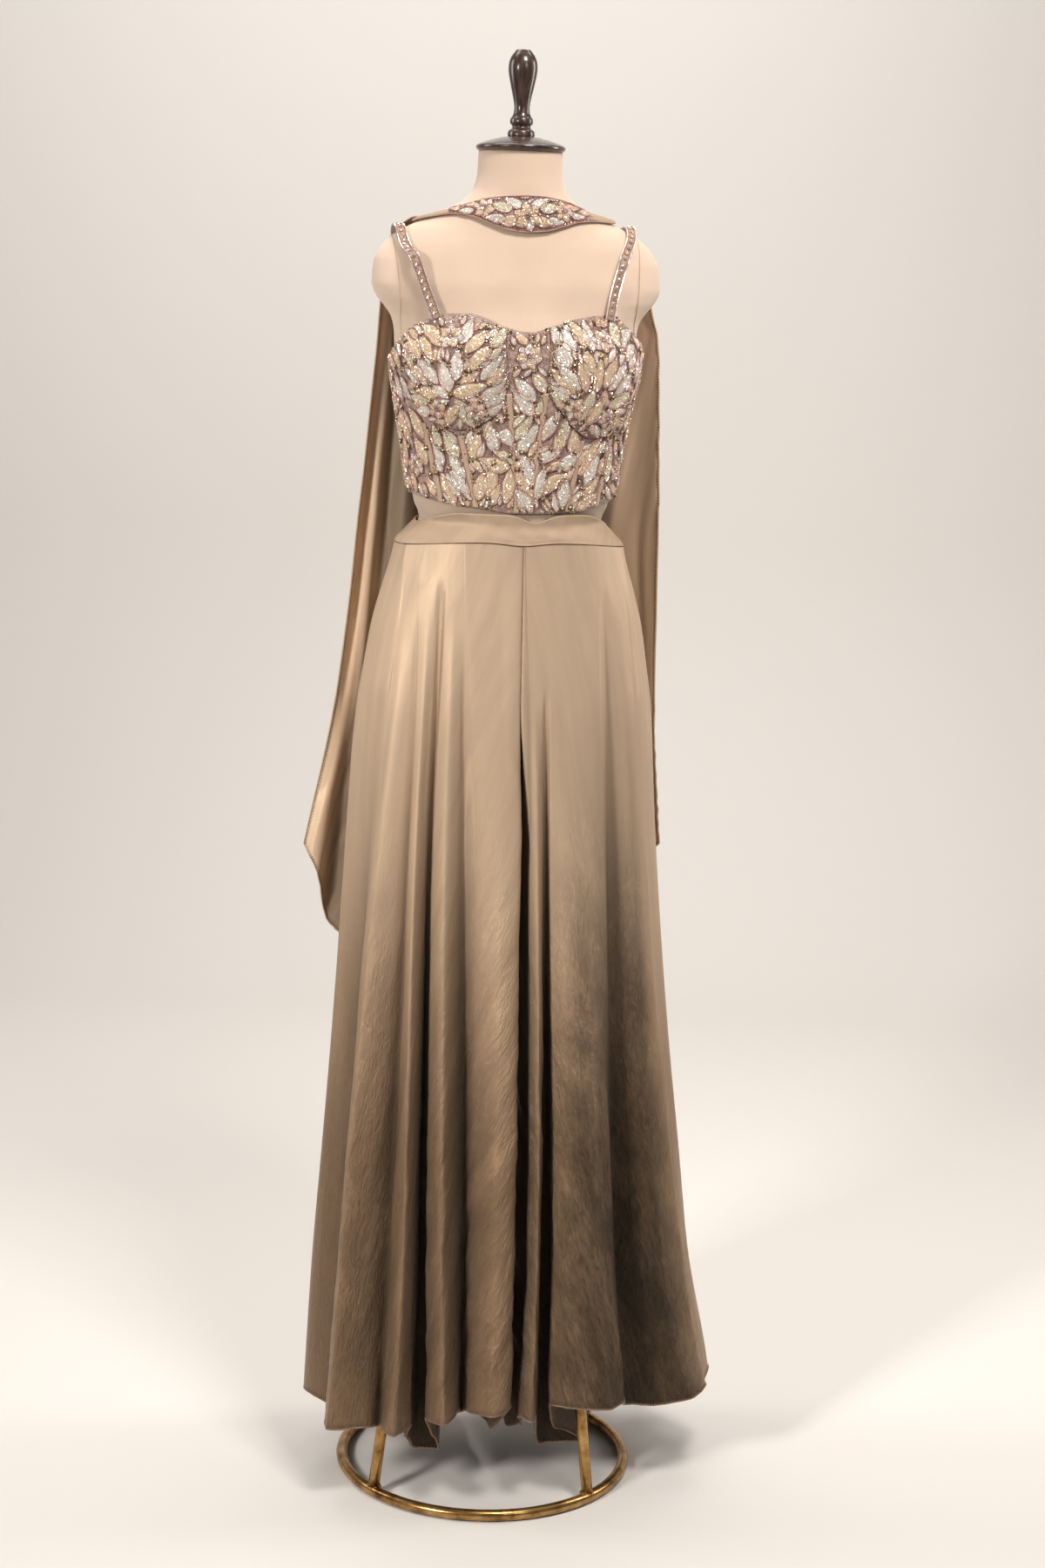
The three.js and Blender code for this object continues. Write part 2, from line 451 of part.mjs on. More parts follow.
// one knot of a panel at height z, on the outer face
function foldKnot(key, i, z) {
  const [f0, x790, x310, xh, push, from] = FOLDS[key][i], back = key.startsWith('back'), s = key.endsWith('right') ? -1 : 1;
  const aTop = table(HIPS, 1176, s < 0 ? 1 : 2);
  const rows = [[100, xh], [310, x310], [790, x790], [1176, f0 * aTop + (abs(f0) < .01 ? 0 : 0)]];
  let x = table(rows, z, 1);
  if (abs(f0) < .01) { // centre edge: the two legs meet above the crotch
    x = z > 1000 ? s * half : mix(x790 * step(1000, 800, z) + s * half * (1 - step(1000, 800, z)), table([[100, xh], [310, x310], [790, x790]], z, 1), step(860, 780, z));
  }
  const a = table(HIPS, z, x < 0 ? 1 : 2);
  x = clamp(x, -a * 0.9995, a * 0.9995);
  if (i === 0) x = s * a * mix(0.9995, 0.9999, 0);
  const t = clamp((from - z) / (from - 100), 0, 1), amt = push * t ** .9;
  let y = hipY(x, z, back);
  // pushes act along the envelope's inward normal, mostly in y
  const e = 1, y2 = hipY(clamp(x - s * e, -a * .999, a * .999), z, back), tx = s * e, ty = y - y2, l = hypot(tx, ty) || 1;
  let nx = -ty / l, ny = tx / l; // left of travel
  const cx = s * 90; if (nx * (cx - x) + ny * (0 - y) < 0) { nx = -nx; ny = -ny; }
  return [x + nx * amt, y + ny * amt];
}
function centreY(key, z) { return foldKnot(key, FOLDS[key].length - 1, z); }
function innerKnot(key, j, z) {
  const s = key.endsWith('right') ? -1 : 1, [share, sh0, sh1] = INNER[j];
  const A = centreY(key, z), F = centreY(key.replace('back', 'front'), z), B = centreY(key.replace('front', 'back'), z);
  const mx = (F[0] + B[0]) / 2, shift = mix(sh1, sh0, clamp((z - 100) / 760, 0, 1));
  return [mix(A[0], mx, share) + s * shift, mix(A[1], SIZE.inseamY, share)];
}
// whole panel curve at height z: q in [0, qMax(z)]
const crotchT = z => 1 - step(SIZE.crotch, SIZE.crotchTop, z);
const panelCount = key => FOLDS[key].length - 1;
function panelKnots(key, z) {
  const out = FOLDS[key].map((_, i) => foldKnot(key, i, z));
  for (let j = 0; j < INNER.length; j++) out.push(innerKnot(key, j, z));
  return out;
}
function catmull(P, q) {
  const n = P.length, i = clamp(floor(q), 0, n - 2), t = q - i;
  const g = k2 => k2 < 0 ? [P[1][0], -P[1][1]] : k2 > n - 1 ? [2 * P[n - 1][0] - P[n - 2][0], 2 * P[n - 1][1] - P[n - 2][1]] : P[k2];
  const a = g(i - 1), b = g(i), c = g(i + 1), d = g(i + 2);
  return [0, 1].map(k2 => { // limited tangents
    const m0 = (c[k2] - a[k2]) * .42, m1 = (d[k2] - b[k2]) * .42;
    return b[k2] * (1 + 2 * t) * (1 - t) ** 2 + m0 * t * (1 - t) ** 2 + c[k2] * t * t * (3 - 2 * t) + m1 * t * t * (t - 1);
  });
}
const seamZ = x => 1169 + 9.5 * (1 - abs(x / 137) ** 3) - 3.5 * Math.exp(-((x / 26) ** 2));
const ROWS = [0, .035, .09, .155, .225, .305, .4, .52, .66, .8, .91, 1];
function hemAt(key, q) {
  const H = FOLDS[key].map(r => r[6]).concat(INNER.map(r => r[3])), i = clamp(floor(q), 0, H.length - 2), t = q - i;
  const w = t * t * (3 - 2 * t); return mix(H[i], H[i + 1], w);
}
function trouserPoint(key, q, v) {
  const zRef = mix(1172, 95, v);
  // heights: level rows, blended to the seam line at the top and the hem at the bottom
  const P0 = catmull(panelKnots(key, zRef), q);
  const top = seamZ(P0[0]) - 0.5;
  let z = v < .2 ? mix(top, zRef, step(0, .2, v)) : mix(zRef, mix(zRef, hemAt(key, q), 1), step(.45, 1, v) * 1);
  if (v >= .2) z = mix(zRef, mix(1172, hemAt(key, q), v), step(.35, .8, v));
  const p = catmull(panelKnots(key, max(z, 60)), q);
  return [p[0], p[1], z];
}
for (const key of Object.keys(FOLDS)) {
  const n0 = panelCount(key), nInner = INNER.length, N = n0 + nInner + 2, back = key.startsWith('back'), s = key.endsWith('right') ? -1 : 1;
  const outer = [], normal = [];
  for (let i = 0; i < N; i++) { outer.push([]); normal.push([]); }
  for (const v of ROWS) {
    const zRef = mix(1172, 95, v), lam = crotchT(zRef), qMax = n0 + nInner * lam;
    for (let i = 0; i < N; i++) {
      // seam gap: small step in q at both ends
      const base = i === 0 ? 0 : i === 1 ? .45 : i - 1;
      // outer columns keep to the fold rows; the last few slide round into the inner leg below the crotch
      const q = base <= n0 - 1 ? base : n0 - 1 + (base - n0 + 1) / (nInner + 1) * (1 + nInner * lam);
      const p = trouserPoint(key, q, v), e = 0.12;
      const a = trouserPoint(key, max(0, q - e), v), b = trouserPoint(key, min(qMax, q + e), v);
      let tx = b[0] - a[0], ty = b[1] - a[1]; const l = hypot(tx, ty) || 1; tx /= l; ty /= l;
      // outward = away from the leg's middle: left or right of travel, fixed by panel
      let n = (s < 0) !== back ? [ty, -tx] : [-ty, tx];
      if (i === 0) n = [s, 0];
      if (i === N - 1 && lam <= 0) n = [0, back ? 1 : -1];
      if (i === N - 1 && lam > 0.999) n = [-s, 0];
      let g = 0;
      if (i === 0) p[1] = (back ? 1 : -1) * half;
      if (i === N - 1 && lam > 0.999) p[1] = SIZE.inseamY + (back ? 1 : -1) * half;
      outer[i].push(p); normal[i].push([n[0], n[1], 0]);
    }
  }
  shell(`trouser_${key}`, outer, normal, SIZE.cloth, 'satin');
}
// waistband: front and back piece, top dips at the centre front
const bandTop = deg => deg > -90 && deg < 90
  ? 1196 + 15 * step(84, 40, abs(deg)) - 9 * Math.exp(-(((deg - 9) / 11) ** 2))
  : 1197;
const bandAt = (th, z) => {
  const w = step(1180, 1165, z); // follow the trousers at the seam
  const r = sectionR(TORSO, th, z);
  const hz = clamp(z, 1100, 1176), n = table(HIPS, hz, 5), a = table(HIPS, hz, sin(th) < 0 ? 1 : 2), b = table(HIPS, hz, cos(th) >= 0 ? 3 : 4);
  const rh = (abs(sin(th) / a) ** n + abs(cos(th) / b) ** n) ** (-1 / n);
  return polar(mix(r, rh, w), th, z);
};
for (const [name, d0, d1, nu] of [['waistband_front', -90, 90, 19], ['waistband_back', 90, 270, 15]]) {
  surfacePiece(name, (u, v) => {
    const d = mix(d0 + gapA, d1 - gapA, u), dd = d > 180 ? d - 360 : d, p = bandAt(d * D2R, 1172);
    return bandAt(d * D2R, mix(seamZ(clamp(p[0], -137, 137)) + 0.5, bandTop(dd), v));
  }, nu, 5, 1.8, 'satin');
}

// ---------------------------------------------------------------- choker: sloped band over neck base and shoulders
const CHOKER = [ // bearing, x/z handled on the form's slope: lower z, upper z
  [-104, 1542, 1548.5], [-90, 1543.5, 1550], [-78, 1548, 1555.5], [-66, 1551.5, 1561], [-52, 1549, 1567], [-36, 1541.5, 1571], [-18, 1534.5, 1573], [0, 1532.5, 1574], [18, 1534, 1573.5], [36, 1540, 1571], [52, 1546, 1567], [66, 1547.5, 1560], [78, 1547, 1555], [90, 1547.5, 1554], [102, 1547.5, 1554],
];
function chokerAt(deg, v) {
  const th = deg * D2R, zl = table(CHOKER, deg, 1), zu = table(CHOKER, deg, 2), z = mix(zl, zu, v);
  const up = 3.5 * step(60, 84, abs(deg)), rU = sectionR(FORM, th, zu) + 5 + up, rL = sectionR(FORM, th, zl) + 5.2 + up;
  // straight cone line kept clear of the form, slightly rounded outwards
  const r = max(mix(rL, rU, v) + 3 * sin(PI * v), sectionR(FORM, th, z) + 5 + up);
  return polar(r, th, z);
}
surfacePiece('choker_band', (u, v) => chokerAt(mix(-100, 98, u), v), 29, 5, 2.0, 'embroidery', 0, p => [p[0], p[1], 60]);

// ---------------------------------------------------------------- back drape
// columns across the back: top anchor on the shoulders and neck, side position down the fall
const DRAPE = [ // u, xTop, yTop, zTop, x1430, x1200, x970, xHem, yHang1400, y1100, yHem, hem
  [0.00, -141, 52, 1521, -152, -169, -189, -226, 96, 118, 150, 770],
  [0.05, -136, 49, 1527, -146, -160, -178, -212, 110, 136, 140, 742],
  [0.11, -128, 43, 1536, -134, -148, -162, -192, 112, 122, 176, 664],
  [0.18, -116, 34, 1546, -122, -132, -142, -160, 122, 142, 156, 640],
  [0.26, -98, 36, 1549, -104, -110, -116, -130, 116, 126, 180, 622],
  [0.34, -76, 42, 1557, -82, -84, -88, -98, 124, 144, 160, 612],
  [0.42, -48, 50, 1567, -52, -54, -56, -60, 118, 128, 182, 606],
  [0.50, 0, 61, 1572, -18, -18, -18, -20, 126, 146, 162, 604],
  [0.58, 48, 50, 1567, 20, 20, 20, 22, 118, 128, 182, 608],
  [0.66, 76, 42, 1556, 56, 58, 58, 64, 124, 144, 160, 616],
  [0.74, 98, 36, 1548, 90, 92, 94, 102, 116, 126, 178, 630],
  [0.82, 116, 36, 1545, 118, 124, 126, 138, 118, 138, 152, 656],
  [0.89, 126, 45, 1535, 142, 150, 154, 170, 98, 112, 150, 700],
  [0.95, 132, 50, 1527, 166, 176, 180, 196, 84, 98, 112, 748],
  [1.00, 136, 52, 1521, 186, 196, 200, 214, 62, 66, 66, 786],
];
function drapePoint(u, v) {
  const c = i => table(DRAPE, clamp(u, 0, 1), i) , hem = c(11), zTop = c(3);
  // v: 0..0.22 runs over the shoulder back, then the fall
  const rows = [[0, c(1), c(2), zTop], [.08, mix(c(1), c(4), .25), mix(c(2), c(8), .34), zTop - 7], [.17, mix(c(1), c(4), .6), mix(c(2), c(8), .72), zTop - 36],
    [.27, mix(c(1), c(4), .85), mix(c(2), c(8), .94), zTop - 82], [.36, c(4), c(8), 1410], [.62, c(5), mix(c(8), c(9), .6), 1195], [.80, c(6), mix(c(9), c(10), .35), 975], [1, c(7), c(10), hem]];
  const p = [1, 2, 3].map(i2 => table(rows, v, i2));
  // keep clear of form, corset and trousers
  const need = (rows2, off) => { const th = Math.atan2(p[0], -p[1]), r = hypot(p[0], p[1]), R = sectionR(rows2, th, p[2]) + off; if (r < R) { p[0] *= R / r; p[1] *= R / r; } };
  for (let i = 0; i < 3; i++) {
    if (p[2] > 1100) need(FORM, p[2] > 1440 ? 9.0 : 6.0);
    if (p[2] > 1360) { // under cloth the form bulges upward too: push up on the shoulder
      for (let j = 0; j < 30; j++) { const th = Math.atan2(p[0], -p[1]); if (hypot(p[0], p[1]) < sectionR(FORM, th, p[2]) + 8.5) p[2] += 0.8; else break; }
    }
    if (p[2] > 1100 && p[2] < 1445) need(TORSO, 6.5);
  }
  const over = step(1480, 1510, p[2]) * Math.exp(-(((abs(p[0]) - 133) / 17) ** 2)); p[1] += 2 * over; p[2] += 7.5 * over; // lifted where it lies on the straps
  if (p[2] < 1200) { const yb = hipY(clamp(p[0], -table(HIPS, p[2], 1) * .96, table(HIPS, p[2], 2) * .96), p[2], true) + 8; if (p[1] < yb && abs(p[0]) < table(HIPS, p[2], p[0] < 0 ? 1 : 2) + 6) p[1] = yb; }
  return p;
}
surfacePiece('drape_back', drapePoint, 27, 13, SIZE.cloth, 'satin', 0, p => [0.2 * sign(p[0]), 1, p[2] > 1480 ? 1.2 : 0]);

// ---------------------------------------------------------------- origin to the bottom centre of the bounding box
const box = new THREE.Box3();
group.children.forEach(m => { m.geometry.computeBoundingBox(); box.union(m.geometry.boundingBox); });
const shift = [-(box.min.x + box.max.x) / 2, -(box.min.y + box.max.y) / 2, -box.min.z];
group.children.forEach(m => { m.geometry.translate(...shift); });
group.userData.shift = shift;

export default group;
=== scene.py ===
import bpy, math, random
import numpy as np
from mathutils import Matrix, Vector


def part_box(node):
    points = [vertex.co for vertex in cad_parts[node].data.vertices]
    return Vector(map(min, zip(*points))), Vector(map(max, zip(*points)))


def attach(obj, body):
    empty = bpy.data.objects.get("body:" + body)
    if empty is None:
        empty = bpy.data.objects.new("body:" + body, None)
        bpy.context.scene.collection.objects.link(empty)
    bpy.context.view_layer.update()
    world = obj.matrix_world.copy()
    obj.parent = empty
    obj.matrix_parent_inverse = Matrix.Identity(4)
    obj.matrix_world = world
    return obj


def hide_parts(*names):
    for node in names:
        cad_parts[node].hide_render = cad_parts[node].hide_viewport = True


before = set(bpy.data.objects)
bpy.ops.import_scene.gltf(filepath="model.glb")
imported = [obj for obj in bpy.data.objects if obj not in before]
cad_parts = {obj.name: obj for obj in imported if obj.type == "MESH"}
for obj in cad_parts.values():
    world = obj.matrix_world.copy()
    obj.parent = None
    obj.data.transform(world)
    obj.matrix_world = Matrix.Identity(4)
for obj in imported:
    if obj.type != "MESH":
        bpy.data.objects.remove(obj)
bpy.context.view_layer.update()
random.seed(11)
rng = np.random.default_rng(11)
D2R = math.pi / 180
MM = 0.001

# ------------------------------------------------------------------ sizes, the same tables as the part (mm)
SEAM, CLOTH, CORSET_WALL = 0.3, 1.6, 2.0
RING_R, TUBE_R, LEG_LEAN, HUB_Z = 179.0, 7.0, 0.1475, 944.0
CROTCH_TOP, CROTCH, INSEAM_Y = 938.0, 862.0, 6.0
TORSO = np.array([
    [1100, 158, 106, 116, 2.30], [1140, 143, 104, 108, 2.30], [1170, 137, 102, 100, 2.30], [1185, 124, 98, 92, 2.30],
    [1200, 113, 94, 87, 2.25], [1216, 120, 94, 86, 2.25], [1254, 126.5, 97, 88, 2.25], [1296, 133, 100, 92, 2.25],
    [1331, 139, 104, 96, 2.25], [1368, 145, 107, 100, 2.25], [1395, 147, 106, 103, 2.25], [1425, 148, 99, 104, 2.20],
    [1450, 152, 90, 103, 2.20]], float)
FORM = np.array([
    [953, 140, 92, 108, 2.3], [1000, 154, 100, 117, 2.3], [1060, 155, 102, 116, 2.3], [1100, 150, 100, 110, 2.3],
    [1140, 136, 98, 102, 2.3], [1170, 128, 95, 93, 2.3], [1200, 108, 89, 82, 2.3], [1216, 115, 89, 81, 2.3],
    [1254, 121.5, 92, 83, 2.25], [1296, 128, 95, 87, 2.25], [1331, 134, 99, 91, 2.25], [1368, 140, 102, 95, 2.25],
    [1395, 142, 101, 98, 2.25], [1418, 143.5, 94.5, 99, 2.25], [1432, 147, 88.5, 98.5, 2.25], [1444, 155, 84, 97, 2.25],
    [1456, 165, 81, 95.5, 2.25], [1472, 171, 78, 94, 2.25], [1495, 169, 71, 88, 2.2], [1515, 159, 65, 81, 2.1],
    [1530, 142, 60, 74, 2.0], [1543, 117, 57, 68, 1.95], [1556, 88, 55, 62, 1.95], [1568, 66, 53, 57, 2.0],
    [1582, 54, 51, 53, 2.0], [1600, 50, 48, 49, 2.0], [1624.4, 49, 46, 46, 2.0]], float)
CUPS = [(-1, 40, 1383, 28, 45, 18.5), (1, 40, 1383, 28, 45, 18.5)]
TOP_EDGE = np.array([
    [-180, 1366], [-130, 1369], [-100, 1378], [-82, 1396], [-70, 1416], [-60, 1430], [-50, 1439], [-38, 1440], [-27, 1434],
    [-17, 1425], [0, 1421], [15, 1427], [29, 1436], [44, 1441], [54, 1440], [62, 1428], [74, 1410], [86, 1392], [104, 1376],
    [132, 1369], [180, 1366]], float)
HEM = np.array([
    [-180, 1228], [-110, 1229], [-90, 1229], [-74, 1227], [-52, 1221], [-30, 1217], [-5, 1212], [6, 1212], [20, 1213],
    [38, 1215], [56, 1220], [76, 1226], [92, 1229], [180, 1228]], float)
WIRE = np.array([
    [-72, 1338], [-63, 1322], [-53, 1312], [-41, 1306], [-29, 1313], [-18, 1331], [-13.5, 1352], [0, 1390],
    [12, 1354], [20, 1333], [31, 1310], [43, 1299], [55, 1305], [66, 1330], [72, 1342]], float)
HIPS = np.array([
    [60, 234, 302, 149, 150, 2.9], [130, 231, 290, 147, 149, 2.9], [276, 224, 259, 139, 144, 2.85],
    [418, 214, 240, 132, 140, 2.8], [534, 206, 224, 127, 137, 2.75], [649, 199, 210, 122, 135, 2.7],
    [763, 193, 198, 118, 134, 2.6], [875, 187, 188, 116, 134, 2.5], [970, 180, 181, 115, 133, 2.4],
    [1029, 171, 172, 112, 127, 2.35], [1071, 164, 165, 109, 121, 2.3], [1118, 151.5, 152.5, 106, 112, 2.3],
    [1146, 143, 143.5, 104, 106, 2.3], [1176, 136, 136, 102.3, 99, 2.3]], float)
FOLDS = {  # share of width, x at 790, x at 310, x at the hem, push, from, hem height
    "front_right": [
    [-0.985, -191, -216, -229, 2, 900, 104],
    [-0.955, -181, -207, -214, 44, 1000, 94],
    [-0.93, -171, -209, -222, 12, 1040, 92],
    [-0.905, -158, -190, -203, -7, 1060, 96],
    [-0.88, -139, -166, -172, 10, 1080, 96],
    [-0.86, -130, -150, -158, 34, 1090, 92],
    [-0.84, -127, -141, -151, 10, 1090, 98],
    [-0.77, -118, -124, -132, -7, 1080, 101],
    [-0.715, -112, -114, -115, 10, 1110, 102],
    [-0.695, -109, -112, -120, 30, 1130, 84],
    [-0.68, -107, -107, -106, 54, 1130, 58],
    [-0.66, -103, -94, -76, 56, 1130, 56],
    [-0.64, -101, -95, -84, 30, 1130, 84],
    [-0.62, -98, -97, -93, 10, 1110, 112],
    [-0.575, -84, -80, -74, -7, 1080, 116],
    [-0.53, -70, -62, -55, 10, 1070, 118],
    [-0.505, -62, -50, -47, 46, 1060, 108],
    [-0.47, -45, -41, -42, 10, 1050, 121],
    [-0.22, -18, -18, -18, -8, 1000, 126],
    [-0.002, 6, 10, 10, 4, 1000, 130],],
    "front_left": [
    [0.985, 196, 252, 296, 2, 900, 112],
    [0.955, 180, 240, 282, 22, 1000, 106],
    [0.91, 166, 232, 280, 6, 1020, 118],
    [0.84, 152, 200, 246, 6, 1060, 112],
    [0.76, 136, 170, 204, 32, 1100, 104],
    [0.715, 123, 150, 172, 42, 1120, 106],
    [0.68, 113, 139, 160, 16, 1110, 122],
    [0.64, 106, 132, 153, 2, 1100, 126],
    [0.53, 92, 112, 132, -8, 1080, 127],
    [0.41, 74, 92, 104, -7, 1000, 128],
    [0.31, 58, 74, 78, 0, 960, 128],
    [0.22, 44, 59, 59, 9, 980, 127],
    [0.195, 42, 61, 74, 30, 1000, 88],
    [0.175, 41, 66, 122, 56, 1000, 56],
    [0.155, 38, 50, 60, 60, 1000, 56],
    [0.135, 35, 46, 47, 32, 990, 84],
    [0.11, 32, 43, 43, 9, 980, 112],
    [0.06, 26, 37, 33, -5, 1000, 115],
    [0.02, 20, 31, 22, 4, 1000, 117],
    [0.002, 17, 27, 20, 9, 1000, 112],],
    "back_right": [
    [-0.985, -190, -215, -228, 6, 900, 100],
    [-0.93, -178, -200, -208, 28, 1000, 90],
    [-0.86, -166, -190, -200, 2, 1020, 92],
    [-0.79, -150, -172, -182, -4, 1020, 90],
    [-0.735, -139, -158, -166, 10, 1060, 84],
    [-0.71, -134, -152, -160, 40, 1090, 76],
    [-0.68, -127, -142, -150, 9, 1060, 86],
    [-0.60, -108, -120, -124, -7, 1000, 88],
    [-0.50, -84, -82, -90, 3, 1060, 84],
    [-0.46, -76, -69, -80, 28, 1080, 76],
    [-0.42, -70, -62, -72, 8, 1060, 84],
    [-0.34, -60, -55, -62, -6, 1050, 86],
    [-0.27, -50, -52, -54, 8, 1060, 84],
    [-0.235, -44, -46, -48, 40, 1080, 72],
    [-0.20, -38, -38, -40, 8, 1040, 84],
    [-0.12, -22, -22, -24, -5, 1000, 88],
    [-0.002, -6, -5, -6, 4, 1000, 90],],
    "back_left": [
    [0.985, 195, 250, 292, 8, 900, 106],
    [0.93, 180, 232, 266, 26, 1000, 92],
    [0.87, 166, 216, 252, 0, 1010, 98],
    [0.79, 150, 190, 222, -3, 1030, 94],
    [0.74, 139, 176, 204, 12, 1060, 84],
    [0.715, 134, 170, 196, 42, 1090, 76],
    [0.68, 126, 158, 184, 9, 1060, 88],
    [0.60, 108, 136, 156, -7, 1000, 90],
    [0.52, 94, 118, 132, 9, 1040, 84],
    [0.485, 88, 110, 124, 42, 1080, 74],
    [0.45, 82, 101, 114, 9, 1060, 86],
    [0.36, 66, 82, 90, -7, 1040, 88],
    [0.28, 53, 67, 70, 9, 1040, 84],
    [0.245, 47, 61, 62, 38, 1080, 72],
    [0.21, 41, 53, 55, 9, 1020, 86],
    [0.10, 24, 34, 36, -5, 980, 88],
    [0.002, 8, 14, 12, 4, 980, 90],],
}
PAINTED_FOLD_LIGHT_AND_SHADE = {  # per knot of FOLDS: painted shade and light low down, under 1 darker in the valleys and on lobes turned from the light, over 1 lighter on lit lobes
    "front_right": [1.0, .40, .78, 1.12, .66, .32, .92, 1.1, .62, .3, .16, .16, .3, .85, 1.12, .56, .28, .88, 1.38, 1.05],
    "front_left": [1.5, 1.3, 1.4, .38, .27, .25, .33, .54, .60, .68, .95, .9, .3, .16, .16, .3, .75, 1.15, .55, .28],
}
# per knot of FOLDS: how crinkled the satin is low down; it drives the crinkle bumps and the painted dark and light
# reflection patches
CRUSH_AND_REFLECTION_TABLE = {"front_left": [.1, .2, .2, .9, 1, 1, 1, 1, 1, 1, .8, .5, .3, .3, .3, .3, .3, .3, .2, .2], "front_right": [.1, .2, .3, .45, .3, .2, .2, .25, .2, .1, .1, .1, .1, .2, .3, .2, .2, .3, .5, .3]}
INNER = [[0.30, 3, 14, 84], [0.62, 2, 4, 64], [1.00, 1, 9, 60]]
CHOKER = np.array([
    [-104, 1542, 1548.5], [-90, 1543.5, 1550], [-78, 1548, 1555.5], [-66, 1551.5, 1561], [-52, 1549, 1567], [-36, 1541.5, 1571], [-18, 1534.5, 1573], [0, 1532.5, 1574], [18, 1534, 1573.5], [36, 1540, 1571], [52, 1546, 1567], [66, 1547.5, 1560], [78, 1547, 1555], [90, 1547.5, 1554], [102, 1547.5, 1554]], float)
DRAPE = np.array([
    [0.00, -141, 52, 1521, -152, -169, -189, -226, 96, 118, 150, 770],
    [0.05, -136, 49, 1527, -146, -160, -178, -212, 110, 136, 140, 742],
    [0.11, -128, 43, 1536, -134, -148, -162, -192, 112, 122, 176, 664],
    [0.18, -116, 34, 1546, -122, -132, -142, -160, 122, 142, 156, 640],
    [0.26, -98, 36, 1549, -104, -110, -116, -130, 116, 126, 180, 622],
    [0.34, -76, 42, 1557, -82, -84, -88, -98, 124, 144, 160, 612],
    [0.42, -48, 50, 1567, -52, -54, -56, -60, 118, 128, 182, 606],
    [0.50, 0, 61, 1572, -18, -18, -18, -20, 126, 146, 162, 604],
    [0.58, 48, 50, 1567, 20, 20, 20, 22, 118, 128, 182, 608],
    [0.66, 76, 42, 1556, 56, 58, 58, 64, 124, 144, 160, 616],
    [0.74, 98, 36, 1548, 90, 92, 94, 102, 116, 126, 178, 630],
    [0.82, 116, 36, 1545, 118, 124, 126, 138, 118, 138, 152, 656],
    [0.89, 126, 45, 1535, 142, 150, 154, 170, 98, 112, 150, 700],
    [0.95, 132, 50, 1527, 166, 176, 180, 196, 84, 98, 112, 748],
    [1.00, 136, 52, 1521, 186, 196, 200, 214, 62, 66, 66, 786]], float)

# the part is centred on its box: find the same shift from the ring, whose centre is at (0, 0) in the tables
_lo, _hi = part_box("stand_ring")
SHIFT = np.array([(_lo[0] + _hi[0]) / 2 * 1000, (_lo[1] + _hi[1]) / 2 * 1000, 0.0])

# ------------------------------------------------------------------ small maths
def mix(a, b, t): return a + (b - a) * t
def sstep(e0, e1, v):
    t = np.clip((np.asarray(v, float) - e0) / (e1 - e0), 0, 1)
    return t * t * (3 - 2 * t)
def tab(rows, key, col):
    R = np.asarray(rows, float); x = R[:, 0]; y = R[:, col]
    k = np.clip(np.asarray(key, float), x[0], x[-1])
    i = np.clip(np.searchsorted(x, k, side="right") - 1, 0, len(x) - 2)
    sl = np.diff(y) / np.diff(x)
    m = np.zeros(len(x)); m[0] = sl[0]; m[-1] = sl[-1]
    a, b = sl[:-1], sl[1:]
    with np.errstate(divide="ignore", invalid="ignore"):
        m[1:-1] = np.where(a * b > 0, 2 * a * b / (a + b), 0)
    h = x[i + 1] - x[i]; t = (k - x[i]) / h
    return y[i] * (1 + 2 * t) * (1 - t) ** 2 + m[i] * h * t * (1 - t) ** 2 + y[i + 1] * t * t * (3 - 2 * t) + m[i + 1] * h * t * t * (t - 1)
def section_r(rows, th, z):
    a = tab(rows, z, 1); n = tab(rows, z, 4)
    b = np.where(np.cos(th) >= 0, tab(rows, z, 2), tab(rows, z, 3))
    return (np.abs(np.sin(th) / a) ** n + np.abs(np.cos(th) / b) ** n) ** (-1 / n)
def polar(r, th, z):
    r, th, z = np.broadcast_arrays(r, th, z)
    return np.stack([r * np.sin(th), -r * np.cos(th), z], -1).astype(float)
def cup_lift(th, z):
    """rises steeply above the wire seam, fades upwards and sideways"""
    s = 0; deg = np.asarray(th) / D2R; up = np.clip((z - tab(WIRE, deg, 1) + .5) / 46, 0, 1); g = up * (2 - up) * sstep(10, 24, np.abs(deg))
    for side, at, cz, da_, dz_, lift in CUPS:
        da = (deg - side * at) / da_; dz = np.maximum(z - cz, 0) / dz_; s = s + lift * np.exp(-(da * da + dz * dz) * 1.1) * g
    return s
def corset_at(th, z, off=0): return polar(section_r(TORSO, th, z) + cup_lift(th, z) + off, th, z)
def form_at(th, z, off=0): return polar(section_r(FORM, th, z) + off, th, z)
def waves(seed, a, b, n=7, la=60.0, lb=300.0):
    """smooth uneven noise of two lengths, in mm, about -1..1"""
    r = np.random.default_rng(seed); s = 0
    for _ in range(n):
        s = s + np.sin(2 * np.pi * (a / la * r.uniform(.5, 1.7) + b / lb * r.uniform(-1.5, 1.5)) + r.uniform(0, 6.28)) * r.uniform(.5, 1)
    return s / n * 1.4

# ------------------------------------------------------------------ scene helpers
scene = bpy.context.scene
def new_object(name, verts, faces, mats, face_mat=None, smooth=True, uv=None):
    me = bpy.data.meshes.new(name)
    v = (np.asarray(verts, float) + SHIFT) * MM
    me.from_pydata(v.tolist(), [], faces if isinstance(faces, list) else faces.tolist())
    for m in mats: me.materials.append(m)
    if face_mat is not None: me.polygons.foreach_set("material_index", np.asarray(face_mat, np.int32))
    me.polygons.foreach_set("use_smooth", np.full(len(me.polygons), smooth))
    if uv is not None:
        layer = me.uv_layers.new(name="UVMap")
        idx = np.empty(len(me.loops), np.int32); me.loops.foreach_get("vertex_index", idx)
        layer.data.foreach_set("uv", np.asarray(uv, np.float32)[idx].ravel())
    me.update()
    o = bpy.data.objects.new(name, me); scene.collection.objects.link(o)
    return o
